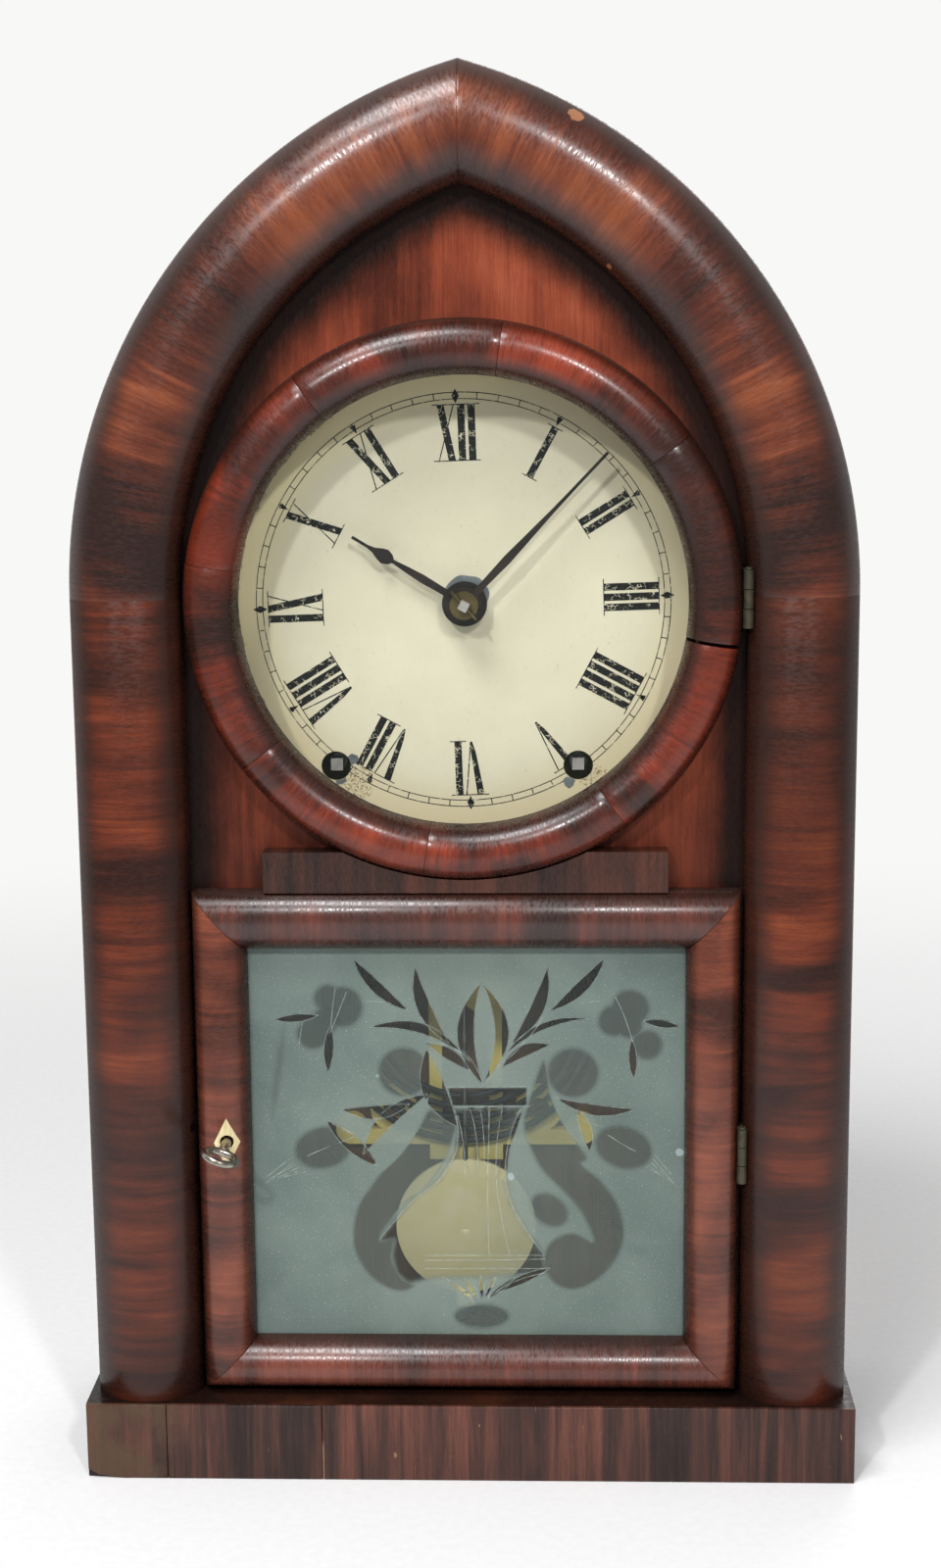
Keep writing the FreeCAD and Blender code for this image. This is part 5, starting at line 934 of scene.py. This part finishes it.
PANE_WEAR = (((15.0, -36, 106.3), 1.3), ((73.8, -36, 115.3), 1.4), ((-31.1, -36, 142.8), 0.7))
etched = Finish("etched_glass", Specular_IOR_Level=0.4)
share = etched.node("Attribute", attribute_name="clear").outputs["Fac"]
grit = etched.noise(etched.place, 1500.0, 3.0, 0.7)
drift = etched.noise(etched.place, 30.0, 3.0, 0.6, 0.4)
etched.paint(etched.ramp(drift, (0.3, (95, 111, 106)), (0.7, (119, 134, 128))))
# Painted light: the frost is painted lighter toward the middle of the pane.
etched.stain(etched.level(etched.size(etched.x), 0.072, 0.0), (136, 150, 142), 0.4)
etched.stain(etched.level(grit, 0.58, 0.72), (200, 214, 208), 0.6)
for centre, radius in PANE_WEAR:
    etched.stain(etched.spot(centre, radius), (158, 178, 176))
etched.stain(share, (88, 96, 93))
etched.feed(etched.shader.inputs["Alpha"], etched.level(share, 0.0, 1.0, 0.88, 0.17))
etched.feed(etched.shader.inputs["Roughness"], etched.level(share, 0.8, 1.0, 0.62, 0.12))
etched.bump(etched.times(grit, etched.minus(1.0, share)), 0.012)
piece(pane, "tablet_pane", "door", "etched_glass", etched, "tablet_glass").visible_shadow = False


# Cut lines on the tablet: hair-fine bright cuts that edge the leaves, run down the vase and ray from the
# buds. They are ground into the face of the pane.
CUTS = (
    ((-1.8, 152.0), (2.5, 147.0), (5.7, 139.3)), ((13.3, 149.0), (9.8, 144.9), (5.9, 139.4)),
    ((-12.5, 155.0), (-4.7, 153.0), (1.1, 148.0)), ((26.5, 164.6), (22.6, 158.1), (14.3, 149.0)),
    ((-7.3, 138.8), (6.9, 138.9), (21.0, 139.1)), ((-4.5, 131.7), (8.8, 131.8), (22.0, 132.0)),
    ((-4.5, 130.7), (-3.4, 122.5), (-4.6, 114.3), (-10.1, 105.0), (-19.1, 97.7), (-27.2, 88.3), (-31.4, 82.6)),
    ((-3.5, 128.6), (-1.6, 118.4), (-1.0, 107.1)), ((0.9, 130.7), (3.0, 120.5), (3.5, 106.6)),
    ((4.4, 130.7), (5.6, 120.5), (5.6, 106.6)),
    ((7.6, 131.7), (7.3, 118.4), (6.8, 105.0), (6.9, 91.6), (7.0, 77.5)),
    ((12.2, 131.2), (10.2, 118.4), (9.9, 105.1), (11.5, 91.6), (14.3, 78.1)),
    ((19.1, 131.7), (14.6, 120.5), (13.0, 107.1), (14.9, 96.8), (20.3, 86.5), (26.2, 78.1)),
    ((-15.9, 77.1), (5.4, 77.2), (26.7, 77.3)), ((-15.4, 75.3), (5.4, 75.5), (27.0, 75.9)),
    ((-15.5, 72.2), (5.4, 72.3), (27.2, 72.4)), ((-9.5, 69.1), (-2.6, 64.4), (1.8, 59.2)),
    ((0.4, 69.1), (2.8, 63.4), (3.5, 59.7)), ((5.4, 69.2), (5.4, 64.4), (5.3, 60.2)),
    ((9.8, 69.2), (7.3, 63.4), (6.5, 59.7)), ((27.2, 70.8), (16.3, 67.6), (8.3, 62.4)),
    ((-71.0, 103.7), (-61.4, 111.0)), ((-70.0, 105.0), (-60.5, 110.3)), ((-68.5, 104.8), (-59.5, 109.4)),
    ((-66.7, 105.2), (-58.5, 108.5)), ((-64.5, 105.8), (-57.0, 107.9)), ((-71.5, 105.3), (-61.9, 113.1)),
    ((73.5, 102.0), (64.6, 112.9)), ((71.5, 104.2), (64.1, 111.4)), ((69.5, 105.3), (63.1, 110.4)),
    ((67.5, 106.8), (62.1, 109.9)), ((71.0, 107.3), (65.1, 114.5)),
    ((-56.4, 113.6), (-52.4, 115.4), (-48.5, 117.2)), ((48.9, 121.6), (53.8, 118.3), (58.7, 115.5)),
    ((-47.3, 125.5), (-43.4, 123.2), (-39.0, 121.4)), ((-45.5, 118.3), (-42.5, 119.5), (-39.5, 120.9)),
    ((46.4, 124.7), (42.5, 125.9), (39.6, 126.7)), ((-41.5, 173.1), (-44.6, 165.1), (-47.7, 158.0)),
    ((-56.9, 162.6), (-57.6, 158.5), (-58.3, 154.0)), ((50.7, 172.2), (54.1, 165.2), (57.1, 156.1)),
    ((-36.2, 169.6), (-30.9, 169.5), (-26.0, 168.9)), ((38.2, 168.7), (43.0, 169.5), (47.8, 169.8)),
    ((-45.4, 174.1), (-46.3, 168.1), (-47.1, 161.1)))
CUT_DEPTH, CUT_WIDE, LEAF_CUT_WIDE = 0.02, 0.17, 0.13
cuts = bmesh.new()


def cut_line(points, wide):
    """A fine bright cut along a line of points on the face of the pane."""
    along = numpy.gradient(points, axis=0)
    side = numpy.stack((-along[:, 1], along[:, 0]), 1) / numpy.hypot(*along.T)[:, None] * wide / 2
    rows = [[cuts.verts.new((x, low.y, z)) for x, z in (point - shift, point + shift)]
            for point, shift in zip(points, side)]
    thicken(cuts, [cuts.faces.new((*one, *two[::-1])) for one, two in zip(rows, rows[1:])], CUT_DEPTH)


def smooth_line(points):
    """More points on a line through a few, so that it bends evenly."""
    points = numpy.array(points)
    if len(points) == 2:
        return points
    steps = numpy.linspace(0, len(points) - 1, 8 * len(points))
    near = numpy.clip(numpy.round(steps).astype(int), 1, len(points) - 2)
    share = (steps - near)[:, None]
    before, here, after = points[near - 1], points[near], points[near + 1]
    return here + (after - before) / 2 * share + (before - 2 * here + after) / 2 * share ** 2


for line in CUTS:
    cut_line(smooth_line(line), CUT_WIDE)
for leaf in leaves:
    cut_line(leaf[:LEAF_POINTS], LEAF_CUT_WIDE)
    cut_line(numpy.concatenate((leaf[LEAF_POINTS - 1:], leaf[:1])), LEAF_CUT_WIDE)
cut_glass = Finish("cut_glass", Roughness=0.35, Alpha=0.62)
glint = cut_glass.noise(cut_glass.place, 500.0, 3.0)
cut_glass.paint(cut_glass.ramp(glint, (0.35, (128, 142, 136)), (0.65, (206, 216, 208))))
cut_glass.bump(glint, 0.02)
piece(cuts, "tablet_cuts", "door", "etched_glass", cut_glass).visible_shadow = False


# Hinges, lock and key: two plain brass butts, dulled brown; a lock let into the left bar behind a bone
# diamond; a nickelled key with a ring bow.
hinge_brass = metal("hinge_brass", (44, 41, 30), (80, 75, 57), (0.4, 0.58), metallic=0.35)
dress(hinge_brass, "hinge_case_leaves", "hinge_door_leaves", "lock_case", "lock_bolt")
bone = Finish("bone", Roughness=0.4)
streak = bone.drawn(bone.axes, (900, 900, 120), 3.0)
bone.paint(bone.ramp(streak, (0.3, (204, 188, 140)), (0.7, (236, 222, 176))))
bone.bump(streak, 0.02)
dress(bone, "escutcheon")
dress(metal("nickel", (120, 112, 100), (190, 184, 172), (0.18, 0.36)), "door_key")


# Stage: a pale floor that fades into a white surround, two small lamps high in front, a soft one overhead
# and a fill behind, and the camera where the photograph was taken.
floor_mesh = bmesh.new()
bmesh.ops.create_circle(floor_mesh, cap_ends=True, segments=96, radius=1.2)
floor = add_object(floor_mesh, "floor")
paper = Finish("floor_paper", Roughness=0.9, Specular_IOR_Level=0.1)
pulp = paper.noise(paper.place, 300.0, 2.0)
paper.paint(paper.ramp(pulp, (0.3, (242, 242, 243)), (0.7, (246, 246, 247))))
far = paper.node("VectorMath", paper.place, operation="LENGTH").outputs["Value"]
fade = paper.node("MixShader", paper.level(far, 0.3, 1.1), paper.shader.outputs[0],
                  paper.node("BsdfTransparent").outputs[0])
paper.feed(paper.tree.nodes["Material Output"].inputs[0], fade.outputs[0])
floor.data.materials.append(paper.material)

DIFFUSE_LIGHT, FRONT_MIRROR, BACK_MIRROR = 0.37, 0.13, 1.0
world = bpy.data.worlds.new("surround")
bpy.context.scene.world = world
world.use_nodes = True
sky = Nodes(world.node_tree)
rays = sky.node("LightPath").outputs
toward = sky.split(sky.node("TexCoord").outputs["Generated"])
backdrop = sky.node("MapRange", toward[1], -0.3, 0.3, FRONT_MIRROR, BACK_MIRROR).outputs[0]
plain = sky.math("MAXIMUM", rays["Is Camera Ray"], rays["Is Transmission Ray"])
mirrored = sky.times(rays["Is Glossy Ray"], backdrop)
background = sky.tree.nodes["Background"]
strength = sky.math("MAXIMUM", sky.math("MAXIMUM", plain, mirrored), DIFFUSE_LIGHT)
sky.feed(background.inputs["Strength"], strength)
background.inputs["Color"].default_value = tint(248, 248, 247)


def lamp(name, place, target, wide, tall, power):
    """A rectangular soft light that faces a point."""
    light = bpy.data.lights.new(name, "AREA")
    light.shape, light.size, light.size_y, light.energy = "RECTANGLE", wide, tall, power
    made = bpy.data.objects.new(name, light)
    made.location = place
    made.rotation_euler = (Vector(target) - Vector(place)).to_track_quat("-Z", "Y").to_euler()
    bpy.context.collection.objects.link(made)


lamp("key_light", (-0.5, -1.35, 1.14), (0, -0.04, 0.3), 0.09, 0.09, 8.1)
lamp("second_light", (0.42, -1.3, 1.1), (0, -0.04, 0.3), 0.09, 0.09, 7.2)
lamp("back_fill", (0.5, 1.5, 1.1), (0, 0.05, 0.25), 0.9, 0.9, 7)
lamp("overhead_light", (-0.34, -0.62, 1.4), (0, -0.05, 0.25), 0.6, 0.4, 12)

CAMERA_PLACE = Vector((0.02908, -0.80592, 0.38240))
YAW, PITCH, ROLL = math.radians(-2.009), math.radians(10.051), math.radians(0.507)
FOCAL_PIXELS, LONG_SIDE, SENSOR = 2351.0, 1600.0, 36.0
ahead = Vector((math.sin(YAW) * math.cos(PITCH), math.cos(YAW) * math.cos(PITCH), -math.sin(PITCH)))
level_right = Vector((math.cos(YAW), -math.sin(YAW), 0))
level_down = ahead.cross(level_right)
right = math.cos(ROLL) * level_right + math.sin(ROLL) * level_down
down = math.cos(ROLL) * level_down - math.sin(ROLL) * level_right
camera_data = bpy.data.cameras.new("camera")
camera_data.sensor_width = SENSOR
camera_data.lens = SENSOR * FOCAL_PIXELS / LONG_SIDE
camera = bpy.data.objects.new("camera", camera_data)
camera.matrix_world = Matrix.Translation(CAMERA_PLACE) @ Matrix((right, -down, -ahead)).transposed().to_4x4()
bpy.context.collection.objects.link(camera)
bpy.context.scene.camera = camera
bpy.context.scene.view_settings.view_transform = "Standard"
